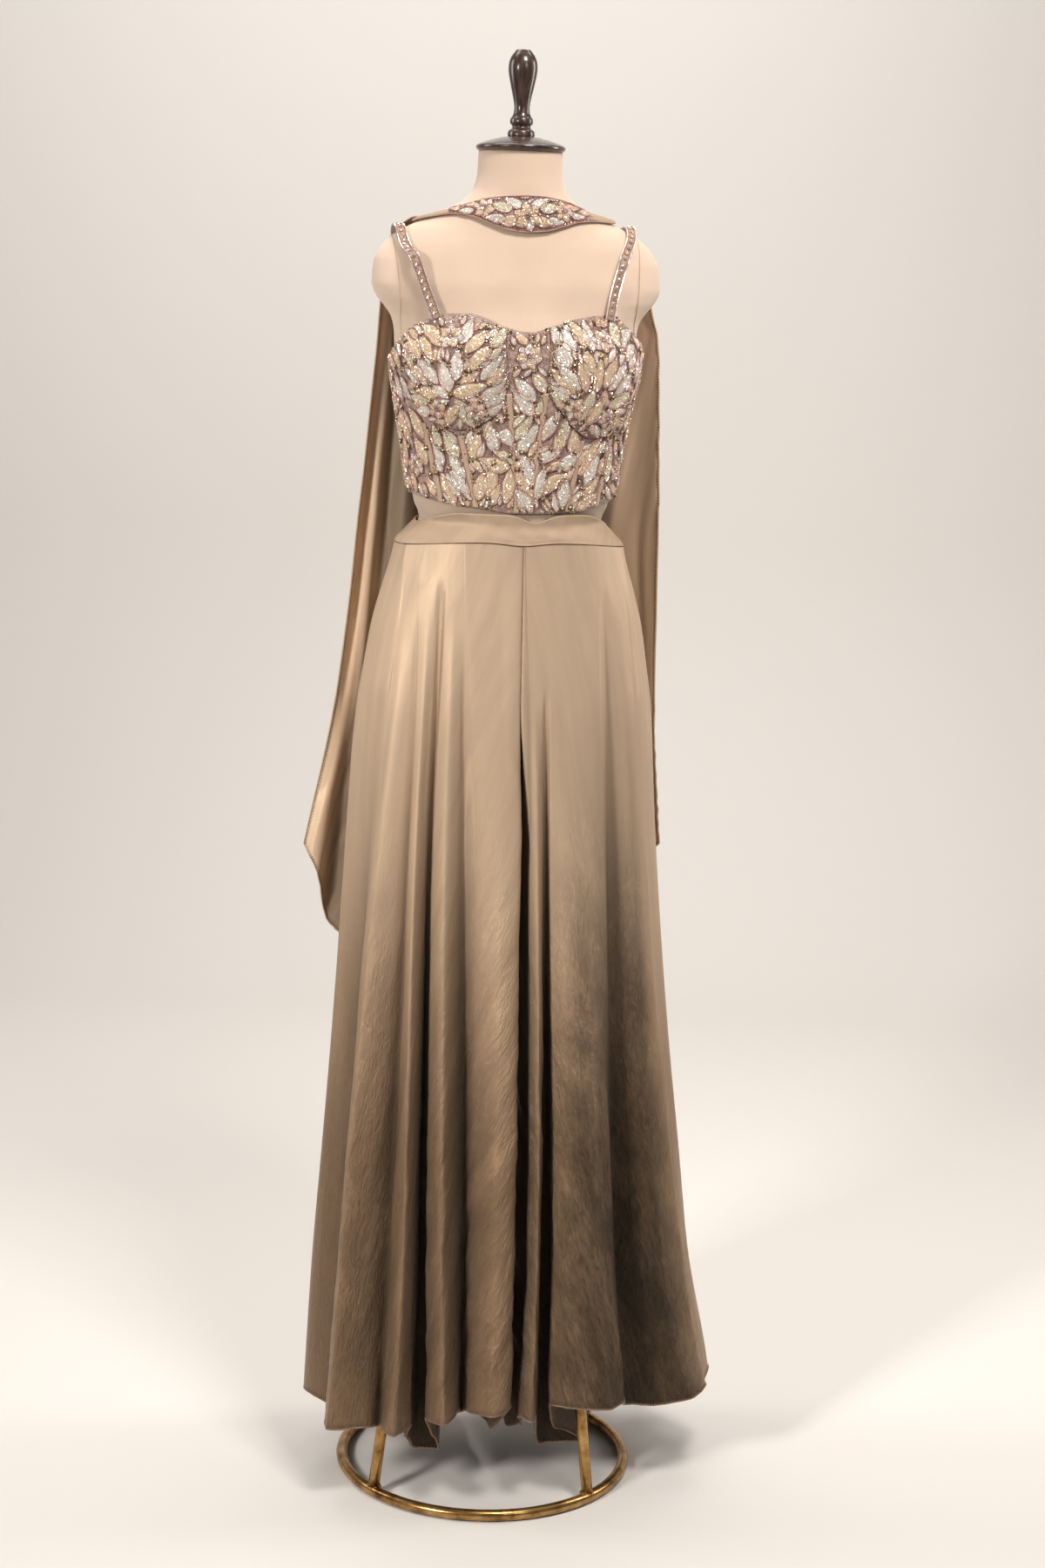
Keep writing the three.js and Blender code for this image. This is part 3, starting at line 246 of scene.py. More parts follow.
def grid_normals(P):
    du = np.gradient(P, axis=0); dv = np.gradient(P, axis=1)
    n = np.cross(du, dv); l = np.linalg.norm(n, axis=-1, keepdims=True); l[l == 0] = 1
    return n / l
def arc(P, axis):
    d = np.linalg.norm(np.diff(P, axis=axis), axis=-1)
    return np.concatenate([np.zeros_like(np.take(d, [0], axis)), np.cumsum(d, axis)], axis)
def area_of(P):
    a = np.cross(P[1:, :-1] - P[:-1, :-1], P[:-1, 1:] - P[:-1, :-1]); b = np.cross(P[1:, :-1] - P[1:, 1:], P[:-1, 1:] - P[1:, 1:])
    return (np.linalg.norm(a, axis=-1).sum() + np.linalg.norm(b, axis=-1).sum()) / 2 * 1e-6
def shell(name, P, N, t, mats, lift=0.0, uv_off=(0, 0)):
    """thin closed cloth shell on grid P with outward normals N, wall t, edges closed with flat strips"""
    nu, nv = P.shape[:2]
    A = P + N * lift; B = P + N * (lift - t)
    du = np.zeros_like(P); du[0] = P[0] - P[1]; du[-1] = P[-1] - P[-2]
    dv = np.zeros_like(P); dv[:, 0] = P[:, 0] - P[:, 1]; dv[:, -1] = P[:, -1] - P[:, -2]
    verts = np.concatenate([A.reshape(-1, 3), B.reshape(-1, 3)])
    idx = np.arange(nu * nv).reshape(nu, nv); k = nu * nv
    flip = np.sum(np.cross(P[1, 1] - P[0, 1], P[1, 1] - P[1, 0]) * N[1, 1]) < 0
    q = np.stack([idx[:-1, :-1], idx[1:, :-1], idx[1:, 1:], idx[:-1, 1:]], -1).reshape(-1, 4)
    faces = [q, q[:, ::-1] + k]
    e = np.stack([idx[:-1, 0], idx[:-1, 0] + k, idx[1:, 0] + k, idx[1:, 0]], -1); faces.append(e)
    e = np.stack([idx[:-1, -1], idx[1:, -1], idx[1:, -1] + k, idx[:-1, -1] + k], -1); faces.append(e)
    e = np.stack([idx[0, :-1], idx[0, 1:], idx[0, 1:] + k, idx[0, :-1] + k], -1); faces.append(e)
    e = np.stack([idx[-1, :-1], idx[-1, :-1] + k, idx[-1, 1:] + k, idx[-1, 1:]], -1); faces.append(e)
    F = np.concatenate(faces)
    if flip: F = F[:, ::-1]
    U = arc(P, 0) * MM + uv_off[0]; V = arc(P, 1) * MM + uv_off[1]
    uv = np.stack([U, V], -1).reshape(-1, 2); uv = np.concatenate([uv, uv])
    return new_object(name, verts, F, mats, uv=uv)
def tube(path, r, sides=8, closed=False, up=(0, 0, 1)):
    """verts and faces of a round tube along path"""
    path = np.asarray(path, float); n = len(path)
    t = np.gradient(path, axis=0)
    if closed: t = np.roll(path, -1, 0) - np.roll(path, 1, 0)
    t /= np.maximum(np.linalg.norm(t, axis=1, keepdims=True), 1e-9)
    up = np.asarray(up, float) * np.ones_like(t)
    s = np.cross(t, up); l = np.linalg.norm(s, axis=1, keepdims=True)
    s = np.where(l < 1e-3, np.array([1.0, 0, 0]), s / np.maximum(l, 1e-9)); w = np.cross(s, t)
    a = np.arange(sides) / sides * 2 * np.pi
    rr = np.broadcast_to(np.asarray(r, float), (n,))[:, None, None]
    V = path[:, None] + rr * (np.cos(a)[None, :, None] * s[:, None] + np.sin(a)[None, :, None] * w[:, None])
    V = V.reshape(-1, 3); F = []
    m = n if closed else n - 1
    i = np.arange(m)[:, None]; j = np.arange(sides)[None]
    i2 = (i + 1) % n; j2 = (j + 1) % sides
    F = np.stack([i * sides + j, i * sides + j2, i2 * sides + j2, i2 * sides + j], -1).reshape(-1, 4)
    F = F.tolist()
    if not closed: F += [list(range(sides))[::-1], [(n - 1) * sides + q for q in range(sides)]]
    return V, F
class Bag:
    """collects many small pieces into one mesh"""
    def __init__(self): self.v, self.f, self.m, self.n = [], [], [], 0
    def add(self, V, F, mat=0):
        V = np.asarray(V, float); self.v.append(V)
        for q in F: self.f.append([int(x) + self.n for x in q]); self.m.append(mat)
        self.n += len(V)
    def make(self, name, mats, smooth=True):
        return new_object(name, np.concatenate(self.v), self.f, mats, self.m, smooth)

# ------------------------------------------------------------------ materials
def principled(name, color, rough, metallic=0.0, **kw):
    m = bpy.data.materials.new(name); m.use_nodes = True
    b = m.node_tree.nodes["Principled BSDF"]
    b.inputs["Base Color"].default_value = (*color, 1); b.inputs["Roughness"].default_value = rough
    b.inputs["Metallic"].default_value = metallic
    for k, v in kw.items(): b.inputs[k].default_value = v
    return m, m.node_tree, b
def node(nt, kind, **kw):
    n = nt.nodes.new(kind)
    for k, v in kw.items():
        if k.startswith("in_"): n.inputs[int(k[3:]) if k[3:].isdigit() else k[3:].replace("_", " ")].default_value = v
        else: setattr(n, k, v)
    return n
def mapped(nt, scale, rot=0.0, kind="UV"):
    tc = node(nt, "ShaderNodeTexCoord"); mp = node(nt, "ShaderNodeMapping")
    mp.inputs["Scale"].default_value = scale; mp.inputs["Rotation"].default_value = (0, 0, rot)
    nt.links.new(tc.outputs[kind], mp.inputs["Vector"]); return mp
def ramp(nt, src, stops):
    r = node(nt, "ShaderNodeValToRGB"); e = r.color_ramp.elements
    while len(e) < len(stops): e.new(0.5)
    for q, (p, c) in zip(e, stops): q.position = p; q.color = (*c, 1) if len(c) == 3 else c
    nt.links.new(src, r.inputs["Fac"]); return r
def satin_material(name, stops, crush_and_reflection_level=1.0, rough=(0.54, 0.30)):      # under about 0.29 the renderer treats the satin another way, which shows as a line
    """satin: colour by height, darker towards the hem as painted shade and painted reflection of a dark floor; soft
    streaks; and a crinkled, glossier look towards the hem with painted dark and light reflection patches
    """
    m, nt, b = principled(name, stops[-1][1], rough[0], 0.30, **{"Anisotropic": 0.4, "Sheen Weight": 0.06, "Sheen Roughness": 0.35, "Specular IOR Level": 0.5, "Specular Tint": (1.0, 0.85, 0.68, 1)})
    b.inputs["Sheen Tint"].default_value = (1.0, 0.86, 0.7, 1)
    L = nt.links; tc = node(nt, "ShaderNodeTexCoord"); sep = node(nt, "ShaderNodeSeparateXYZ"); L.new(tc.outputs["Object"], sep.inputs[0])
    def rng_(a, c, o0=0.0, o1=1.0, src=None):
        r = node(nt, "ShaderNodeMapRange", clamp=True, interpolation_type="SMOOTHSTEP"); r.inputs["From Min"].default_value = a; r.inputs["From Max"].default_value = c; r.inputs["To Min"].default_value = o0; r.inputs["To Max"].default_value = o1
        L.new(src or sep.outputs["Z"], r.inputs["Value"]); return r.outputs[0]
    def noise(scale, rot, detail=3, rg=.55, dist=.4):
        n = node(nt, "ShaderNodeTexNoise"); n.inputs["Scale"].default_value = 1; n.inputs["Detail"].default_value = detail; n.inputs["Roughness"].default_value = rg; n.inputs["Distortion"].default_value = dist
        L.new(mapped(nt, scale, rot).outputs[0], n.inputs["Vector"]); return n.outputs["Fac"]
    def math_(op, a, c):
        q = node(nt, "ShaderNodeMath", operation=op)
        for k_, v_ in enumerate((a, c)):
            if isinstance(v_, (int, float)): q.inputs[k_].default_value = v_
            else: L.new(v_, q.inputs[k_])
        return q.outputs[0]
    low = rng_(0.98, 0.30)
    fine = noise((190, 55, 1), 0.80, 6, .70, .25); fine2 = noise((330, 95, 1), -0.70, 5, .62, .3); broad = noise((20, 6.5, 1), 0.35, 3, .5, .6); patch = noise((19, 7, 1), 0.45, 5, .66, .35)
    # the second attribute marks the crinkled zone: it drives the crinkle bumps and the painted dark and light
    # reflection patches
    at1 = node(nt, "ShaderNodeAttribute"); at1.attribute_name = "fold_shade"; at2 = node(nt, "ShaderNodeAttribute"); at2.attribute_name = "crush_and_painted_reflection"; crush_and_painted_reflection = at2.outputs["Fac"]
    cr_low = math_("MULTIPLY", low, math_("ADD", .35, math_("MULTIPLY", crush_and_painted_reflection, .8)))
    wrinkle = math_("MULTIPLY", math_("SUBTRACT", math_("ADD", fine, fine2), 1.0), cr_low)
    b1 = node(nt, "ShaderNodeBump"); b1.inputs["Strength"].default_value = 0.95 * crush_and_reflection_level; b1.inputs["Distance"].default_value = 0.0052; L.new(wrinkle, b1.inputs["Height"])
    pm = math_("MULTIPLY", math_("SUBTRACT", patch, .5), math_("MULTIPLY", low, crush_and_painted_reflection)); b2 = node(nt, "ShaderNodeBump"); b2.inputs["Strength"].default_value = 0.8 * crush_and_reflection_level; b2.inputs["Distance"].default_value = 0.022; L.new(pm, b2.inputs["Height"]); L.new(b1.outputs[0], b2.inputs["Normal"])
    b3 = node(nt, "ShaderNodeBump"); b3.inputs["Strength"].default_value = 0.18; b3.inputs["Distance"].default_value = 0.006; L.new(broad, b3.inputs["Height"]); L.new(b2.outputs[0], b3.inputs["Normal"])
    b4 = node(nt, "ShaderNodeBump"); b4.inputs["Strength"].default_value = 0.08; b4.inputs["Distance"].default_value = 0.0004; L.new(noise((1500, 420, 1), 0, 1), b4.inputs["Height"]); L.new(b3.outputs[0], b4.inputs["Normal"])
    L.new(b4.outputs[0], b.inputs["Normal"]); L.new(rng_(0.9, 0.35, rough[0], rough[1]), b.inputs["Roughness"])
    # painted shade: the colour ramp darkens from the hip down to the floor, standing in for light falling off and a
    # dark floor's reflection
    col = ramp(nt, rng_(0.10, 1.15), stops).outputs["Color"]
    def times(c, fac, lo, hi):
        r = ramp(nt, fac, [(lo[0], (lo[1],) * 3), (hi[0], (hi[1],) * 3)]); mx = node(nt, "ShaderNodeMix", data_type="RGBA", blend_type="MULTIPLY"); mx.inputs[0].default_value = 1; L.new(c, mx.inputs[6]); L.new(r.outputs["Color"], mx.inputs[7]); return mx.outputs[2]
    col2 = times(col, noise((55, 5, 1), 0.05), (.3, .86), (.75, 1.0))
    if crush_and_reflection_level > .5:      # painted reflection: dark and light patches standing in for the crinkled satin's reflections, only low down
        d2 = times(col2, patch, (.42, .50), (.62, 1.45)); d3 = times(d2, fine, (.36, .60), (.62, 1.25)); mx = node(nt, "ShaderNodeMix", data_type="RGBA"); L.new(math_("MULTIPLY", math_("MULTIPLY", low, .9), crush_and_painted_reflection), mx.inputs[0]); L.new(col2, mx.inputs[6]); L.new(d3, mx.inputs[7]); col2 = mx.outputs[2]
    # painted shade and light: the fold_shade attribute scales the colour, darker where it is above zero, lighter where
    # it is below
    g_ = node(nt, "ShaderNodeCombineColor"); one = math_("SUBTRACT", 1.0, at1.outputs["Fac"]); [L.new(one, g_.inputs[q_]) for q_ in range(3)]
    mt = node(nt, "ShaderNodeMix", data_type="RGBA", blend_type="MULTIPLY"); mt.inputs[0].default_value = 1; L.new(col2, mt.inputs[6]); L.new(g_.outputs[0], mt.inputs[7]); col2 = mt.outputs[2]
    L.new(col2, b.inputs["Base Color"])
    return m
# painted shade: each satin's stops run from darker low down to lighter at the top, strongly on the trousers, slightly
# on the drape
SATIN = satin_material("taupe_satin_look", [(0.0, (0.23, 0.146, 0.086)), (0.25, (0.235, 0.149, 0.088)), (0.5, (0.37, 0.25, 0.162)), (0.75, (0.52, 0.378, 0.262)), (1.0, (0.57, 0.42, 0.297))], 1.0)
DRAPE_SATIN = satin_material("drape_satin_look", [(0.0, (0.55, 0.405, 0.285)), (1.0, (0.60, 0.45, 0.32))], 0.3)
BAND = satin_material("waistband_satin_look", [(0.0, (0.46, 0.335, 0.232)), (1.0, (0.48, 0.35, 0.245))], 0.1, (0.6, 0.55))
THREAD, _, _ = principled("hem_thread", (0.42, 0.28, 0.22), 0.7)
DARKEDGE, _, _ = principled("overlock_edge", (0.10, 0.07, 0.05), 0.75)
def jersey_material():
    m, nt, b = principled("beige_jersey_look", (0.66, 0.50, 0.385), 0.85, 0.0, **{"Sheen Weight": 0.25, "Sheen Roughness": 0.6})
    L = nt.links; tc0 = node(nt, "ShaderNodeTexCoord")
    w = node(nt, "ShaderNodeTexNoise"); w.inputs["Scale"].default_value = 900; w.inputs["Detail"].default_value = 2
    mp = mapped(nt, (1, 1, 0.35), kind="Object"); L.new(mp.outputs[0], w.inputs["Vector"])
    bp = node(nt, "ShaderNodeBump"); bp.inputs["Strength"].default_value = 0.35; bp.inputs["Distance"].default_value = 0.0004; L.new(w.outputs["Fac"], bp.inputs["Height"]); L.new(bp.outputs[0], b.inputs["Normal"])
    n = node(nt, "ShaderNodeTexNoise"); n.inputs["Scale"].default_value = 14; n.inputs["Detail"].default_value = 3; L.new(mapped(nt, (1, 1, 1), kind="Object").outputs[0], n.inputs["Vector"])
    cr = ramp(nt, n.outputs["Fac"], [(0.3, (0.63, 0.475, 0.36)), (0.7, (0.69, 0.525, 0.40))])
    # the narrow strip between the top and the waistband lies in its own shade
    sp = node(nt, "ShaderNodeSeparateXYZ"); L.new(tc0.outputs["Object"], sp.inputs[0]); mr = node(nt, "ShaderNodeMapRange", clamp=True, interpolation_type="SMOOTHSTEP")
    for k_, v_ in (("From Min", 1.252), ("From Max", 1.226), ("To Min", 0.0), ("To Max", 0.45)): mr.inputs[k_].default_value = v_
    L.new(sp.outputs["Z"], mr.inputs["Value"]); mj = node(nt, "ShaderNodeMix", data_type="RGBA"); L.new(mr.outputs[0], mj.inputs[0]); L.new(cr.outputs["Color"], mj.inputs[6]); mj.inputs[7].default_value = (0.20, 0.145, 0.10, 1)
    L.new(mj.outputs[2], b.inputs["Base Color"])
    return m
JERSEY = jersey_material()
SEAMLINE, _, _ = principled("jersey_seam", (0.62, 0.46, 0.30), 0.9)
def wood_material():
    m, nt, b = principled("dark_wood_look", (0.055, 0.032, 0.026), 0.28, 0.0, **{"Coat Weight": 0.5, "Coat Roughness": 0.15})
    L = nt.links
    n = node(nt, "ShaderNodeTexNoise"); n.inputs["Scale"].default_value = 1; n.inputs["Detail"].default_value = 5; n.inputs["Distortion"].default_value = 1.2
    L.new(mapped(nt, (150, 150, 12), kind="Object").outputs[0], n.inputs["Vector"])
    cr = ramp(nt, n.outputs["Fac"], [(0.35, (0.030, 0.017, 0.014)), (0.65, (0.085, 0.048, 0.036))]); L.new(cr.outputs["Color"], b.inputs["Base Color"])
    return m
WOOD = wood_material()
def brass_material():
    m, nt, b = principled("aged_brass_look", (0.165, 0.078, 0.026), 0.25, 0.9)
    L = nt.links
    n = node(nt, "ShaderNodeTexNoise"); n.inputs["Scale"].default_value = 38; n.inputs["Detail"].default_value = 6; n.inputs["Roughness"].default_value = 0.65
    L.new(mapped(nt, (1, 1, 1), kind="Object").outputs[0], n.inputs["Vector"])
    cr = ramp(nt, n.outputs["Fac"], [(0.34, (0.13, 0.060, 0.022)), (0.5, (0.40, 0.225, 0.075)), (0.72, (0.62, 0.41, 0.17))]); L.new(cr.outputs["Color"], b.inputs["Base Color"])
    bp = node(nt, "ShaderNodeBump"); bp.inputs["Strength"].default_value = 0.25; bp.inputs["Distance"].default_value = 0.0006; L.new(n.outputs["Fac"], bp.inputs["Height"]); L.new(bp.outputs[0], b.inputs["Normal"])
    return m
BRASS = brass_material()
def ground_material():
    m, nt, b = principled("embroidered_ground_look", (0.27, 0.19, 0.125), 0.5, 0.0, **{"Sheen Weight": 0.2})
    L = nt.links
    n = node(nt, "ShaderNodeTexVoronoi"); n.inputs["Scale"].default_value = 520
    L.new(mapped(nt, (1, 1, 1)).outputs[0], n.inputs["Vector"])
    bp = node(nt, "ShaderNodeBump"); bp.inputs["Strength"].default_value = 0.7; bp.inputs["Distance"].default_value = 0.0007; bp.invert = True
    L.new(n.outputs["Distance"], bp.inputs["Height"]); L.new(bp.outputs[0], b.inputs["Normal"])
    c = node(nt, "ShaderNodeTexNoise"); c.inputs["Scale"].default_value = 160; c.inputs["Detail"].default_value = 3; L.new(mapped(nt, (1, 1, 1)).outputs[0], c.inputs["Vector"])
    cr = ramp(nt, c.outputs["Fac"], [(0.35, (0.24, 0.15, 0.125)), (0.55, (0.38, 0.25, 0.205)), (0.75, (0.54, 0.39, 0.32))]); L.new(cr.outputs["Color"], b.inputs["Base Color"])
    return m
GROUND = ground_material()
DUSTY, _, _ = principled("dusty_ground_look", (0.40, 0.27, 0.225), 0.5, 0.0, **{"Sheen Weight": 0.2})
CHANNEL, _, _ = principled("channel_satin_look", (0.46, 0.325, 0.23), 0.42, 0.0, **{"Sheen Weight": 0.2})
EMB = {}
for nm, col, rg, mt in (("thread_gold", (0.86, 0.70, 0.49), 0.26, 0.4), ("thread_silver", (0.90, 0.86, 0.79), 0.22, 0.45), ("thread_green_gold", (0.84, 0.80, 0.62), 0.28, 0.35),
                        ("bead_mauve", (0.36, 0.20, 0.19), 0.28, 0.3), ("bead_silver", (0.90, 0.87, 0.84), 0.18, 0.75), ("stone_gold", (0.80, 0.60, 0.34), 0.16, 0.8), ("stone_dark", (0.22, 0.13, 0.07), 0.10, 0.6),
                        ("leaf_bed_gold", (0.70, 0.54, 0.38), 0.45, 0.15), ("leaf_bed_silver", (0.74, 0.68, 0.60), 0.45, 0.2), ("leaf_bed_green", (0.60, 0.54, 0.40), 0.5, 0.15), ("thread_rose", (0.66, 0.42, 0.38), 0.35, 0.25)):
    EMB[nm] = principled(nm, col, rg, mt)[0]

made = []
def fit(obj, slot, *nodes):
    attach(obj, "root")
    if nodes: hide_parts(*nodes)
    made.append(obj); return obj

# ------------------------------------------------------------------ stand
def stand():
    N = 160
    a = np.arange(N) / N * 2 * np.pi
    path = np.stack([RING_R * np.cos(a), RING_R * np.sin(a), np.full(N, TUBE_R)], -1)
    b = Bag(); V, F = tube(path, TUBE_R * 1.0, 20, True)
    V[:, 2] = np.maximum(V[:, 2], 0.0); b.add(V, F)
    fit(b.make("ring_base", [BRASS]), "aged_brass", "stand_ring")
    for name, at in (("stand_tube_front_right", -58), ("stand_tube_front_left", 38), ("stand_tube_back_left", 122), ("stand_tube_back_right", -142)):
        th = at * D2R; zz = np.linspace(TUBE_R + 2, HUB_Z - 0.3, 24); r = RING_R - LEG_LEAN * zz
        b = Bag(); V, F = tube(np.stack([r * np.sin(th), -r * np.cos(th), zz], -1), TUBE_R * 0.99, 18, up=(0.3, 1, 0)); b.add(V, F)
        # weld bead round the foot: overlapping blobs
        base = np.array([(RING_R - LEG_LEAN * 14) * math.sin(th), -(RING_R - LEG_LEAN * 14) * math.cos(th), 13.4])
        for k in range(14):
            g = k / 14 * 2 * np.pi; c = base + np.array([math.cos(g) * 7.6, math.sin(g) * 7.6, -1.9 * abs(math.cos(g - th + math.pi / 2))])
            s = 1.9 + 0.35 * math.sin(3.1 * k + at)
            V, F = blob(c, s, 6, 8); b.add(V, F)
        fit(b.make(name.replace("stand_", "") + "_look", [BRASS]), "aged_brass", name)
    b = Bag(); prof = [(0.1, HUB_Z), (56.5, HUB_Z), (58, HUB_Z + 1.5), (58, HUB_Z + 6.5), (56.5, HUB_Z + 8), (0.1, HUB_Z + 8)]
    V, F = lathe(prof, 64); b.add(V, F); fit(b.make("hub_plate", [BRASS]), "aged_brass", "stand_hub")
def blob(c, s, nu=6, nv=8):
    V = []
    for i in range(nu + 1):
        p = math.pi * i / nu
        for j in range(nv):
            q = 2 * math.pi * j / nv; V.append([c[0] + s * math.sin(p) * math.cos(q), c[1] + s * math.sin(p) * math.sin(q), c[2] + s * math.cos(p)])
    F = [[i * nv + j, (i + 1) * nv + j, (i + 1) * nv + (j + 1) % nv, i * nv + (j + 1) % nv] for i in range(nu) for j in range(nv)]
    return np.array(V), F
def lathe(prof, n=64):
    V = []; m = len(prof)
    for r, z in prof:
        for j in range(n): q = 2 * math.pi * j / n; V.append([r * math.cos(q), r * math.sin(q), z])
    F = [[i * n + j, i * n + (j + 1) % n, (i + 1) * n + (j + 1) % n, (i + 1) * n + j] for i in range(m - 1) for j in range(n)]
    F += [list(range(n))[::-1], [(m - 1) * n + j for j in range(n)]]
    return np.array(V), F
def smooth_profile(prof, k=6):
    P = np.array(prof, float); out = []
    for i in range(len(P) - 1):
        a = P[max(i - 1, 0)]; b = P[i]; c = P[i + 1]; d = P[min(i + 2, len(P) - 1)]
        for s in range(k):
            t = s / k; m0 = (c - a) * .5; m1 = (d - b) * .5
            out.append(b * (1 + 2 * t) * (1 - t) ** 2 + m0 * t * (1 - t) ** 2 + c * t * t * (3 - 2 * t) + m1 * t * t * (t - 1))
    out.append(P[-1]); return [tuple(q) for q in out]
stand()

# ------------------------------------------------------------------ form, neck plate, finial
def form():
    nz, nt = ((156, 150))
    z = np.concatenate([np.linspace(953, 1400, nz // 3), np.linspace(1402, 1624.4, nz - nz // 3)])
    th = np.arange(nt) / nt * 2 * np.pi
    T, Z = np.meshgrid(th, z, indexing="ij")
    # cap seams: shallow grooves where the shoulder caps join
    P = form_at(T, Z)
    x = P[..., 0]; off = np.zeros_like(x)
    for s, x0 in ((-1, -136), (1, 136)):
        lim = x0 - s * 0.10 * np.abs(Z - 1470)
        d = np.abs(x - lim); off -= 1.1 * np.exp(-(d / 2.4) ** 2) * ((Z > 1405) & (Z < 1545))
    off -= 0.7 * np.exp(-((P[..., 0]) / 1.6) ** 2) * (P[..., 1] > 0)          # centre back seam
    P = form_at(T, Z, off)
    n = P.shape[0]; m = P.shape[1]
    V = P.reshape(-1, 3).tolist(); idx = np.arange(n * m).reshape(n, m)
    i2 = np.roll(idx, -1, 0)
    F = np.stack([idx[:, :-1], i2[:, :-1], i2[:, 1:], idx[:, 1:]], -1).reshape(-1, 4).tolist()
    F.append(idx[:, 0][::-1].tolist()); F.append(idx[:, -1].tolist())
    o = new_object("jersey_form", V, F, [JERSEY]); fit(o, "beige_jersey", "form_torso")
    b = Bag()
    for sd, xt, xb in ((-1, -150, -138), (1, 139, 133)):     # seam round the shoulder cap
        pts = []
        for side in (-1, 1):
            run = []
            for z_ in np.linspace(1406, 1528, 60):
                xx = mix(xb, xt, (z_ - 1406) / 122); lo_, hi_ = (0.0, math.pi / 2) if side < 0 else (math.pi / 2, math.pi)
                for _ in range(40):
                    m_ = (lo_ + hi_) / 2; px = abs(float(section_r(FORM, np.array(m_ * sd), np.array(z_)) * math.sin(m_)))
                    if side < 0: lo_, hi_ = (m_, hi_) if px < abs(xx) else (lo_, m_)
                    else: lo_, hi_ = (lo_, m_) if px < abs(xx) else (m_, hi_)
                th_ = (lo_ + hi_) / 2 * sd; run.append(form_at(np.array(th_), np.array(z_), .15))
            pts += run if side < 0 else run[::-1]
        V, F = tube(np.array(pts), .55, 6, up=(1, 0, 0)); b.add(V, F)
    fit(b.make("cap_seams", [SEAMLINE]), "beige_jersey")
    V, F = lathe(smooth_profile([(0.3, 1624.8), (30, 1624.8), (47, 1624.9), (50.8, 1626.3), (52.2, 1629), (51.4, 1631.3), (48, 1633.2), (41, 1635.8), (34, 1638.0), (27, 1639.6), (21, 1641.0), (0.3, 1641.2)], 5), 96)
    b = Bag(); b.add(V, F); fit(b.make("neck_plate_look", [WOOD]), "dark_wood", "neck_plate")
    V, F = lathe(smooth_profile([(0.3, 1641.6), (14, 1641.6), (15.6, 1642.4), (15.9, 1644.6), (15, 1648.2), (12.2, 1650.4), (10.7, 1652.3), (11, 1654.2), (13.0, 1656.4), (13.5, 1659), (13, 1662), (11.2, 1664.6), (9.6, 1668.5), (9.0, 1674),
        (9.4, 1679), (11.2, 1688), (14.2, 1701), (16.4, 1712), (17.0, 1719.5), (16.2, 1726.5), (13.8, 1732.4), (10.6, 1736.8), (8.6, 1739.2), (7.2, 1739.9), (0.3, 1740)], 5), 72)
    b = Bag(); b.add(V, F); fit(b.make("finial_look", [WOOD]), "dark_wood", "finial")
form()

# ------------------------------------------------------------------ corset
def top_z(d): return tab(TOP_EDGE, d, 1)
def hem_z(d): return tab(HEM, d, 1)
def wire_z(d): return tab(WIRE, d, 1)
BONES = {n: [d0, d1, float(wire_z(d1))] for n, d0, d1 in (("r3", -53, -63), ("r2", -32, -41), ("r1", -5, -12.5), ("l1", 5, 11), ("l2", 31, 36.5), ("l3", 52.5, 57))}
def bone_deg(b, z): d0, d1, zt = BONES[b]; return mix(d0, d1, np.clip((z - 1214) / (zt - 1214), 0, 2.2))
GAP = SEAM / 2 / 118 / D2R
def centre_edge(s):
    b = "r1" if s < 0 else "l1"; d1, d2 = (-12.5, -15) if s < 0 else (11, 13.5)
    return lambda z: np.where(z > 1352, mix(d1, d2, sstep(1352, 1425, z)), bone_deg(b, z))
PANELS = { # name: edge a, edge b, low, high
    "corset_front_centre": (centre_edge(-1), centre_edge(1), hem_z, top_z, 34, 96),
    "corset_cup_right": (lambda z: bone_deg("r3", z), lambda z: mix(-12.5, -15, sstep(1352, 1425, z)), lambda d: wire_z(d) + .35, top_z, 72, 62),
    "corset_cup_left": (lambda z: mix(11, 13.5, sstep(1352, 1425, z)), lambda z: bone_deg("l3", z), lambda d: wire_z(d) + .35, top_z, 72, 62),
    "corset_front_inner_right": (lambda z: bone_deg("r2", z), lambda z: bone_deg("r1", z), hem_z, lambda d: wire_z(d) - .35, 44, 70),
    "corset_front_inner_left": (lambda z: bone_deg("l1", z), lambda z: bone_deg("l2", z), hem_z, lambda d: wire_z(d) - .35, 44, 70),
    "corset_front_outer_right": (lambda z: bone_deg("r3", z), lambda z: bone_deg("r2", z), hem_z, lambda d: wire_z(d) - .35, 40, 56),
    "corset_front_outer_left": (lambda z: bone_deg("l2", z), lambda z: bone_deg("l3", z), hem_z, lambda d: wire_z(d) - .35, 40, 56),
    "corset_side_back_left": (lambda z: bone_deg("l3", z) + .2, lambda z: np.full_like(z, 180.0), hem_z, top_z, 90, 58),
    "corset_side_back_right": (lambda z: np.full_like(z, -180.0), lambda z: bone_deg("r3", z) - .2, hem_z, top_z, 90, 58),
}
def solve_panel(spec, u, v):
    ea, eb, lo, hi = spec[:4]
    d = mix(ea(np.full_like(u, 1300.0)), eb(np.full_like(u, 1300.0)), u)
    for _ in range(8):
        z = mix(lo(d) + SEAM / 2, hi(d) - SEAM / 2, v); d = mix(ea(z) + GAP, eb(z) - GAP, u)
    return d, z
def body_normals(fn, th, z):
    e = 1e-3
    n = np.cross(fn(th + e, z) - fn(th - e, z), fn(th, z + .5) - fn(th, z - .5))
    n /= np.linalg.norm(n, axis=-1, keepdims=True)
    out = polar(np.ones_like(th), th, np.zeros_like(z))
    s = np.sign((n * out).sum(-1, keepdims=True)); return n * s
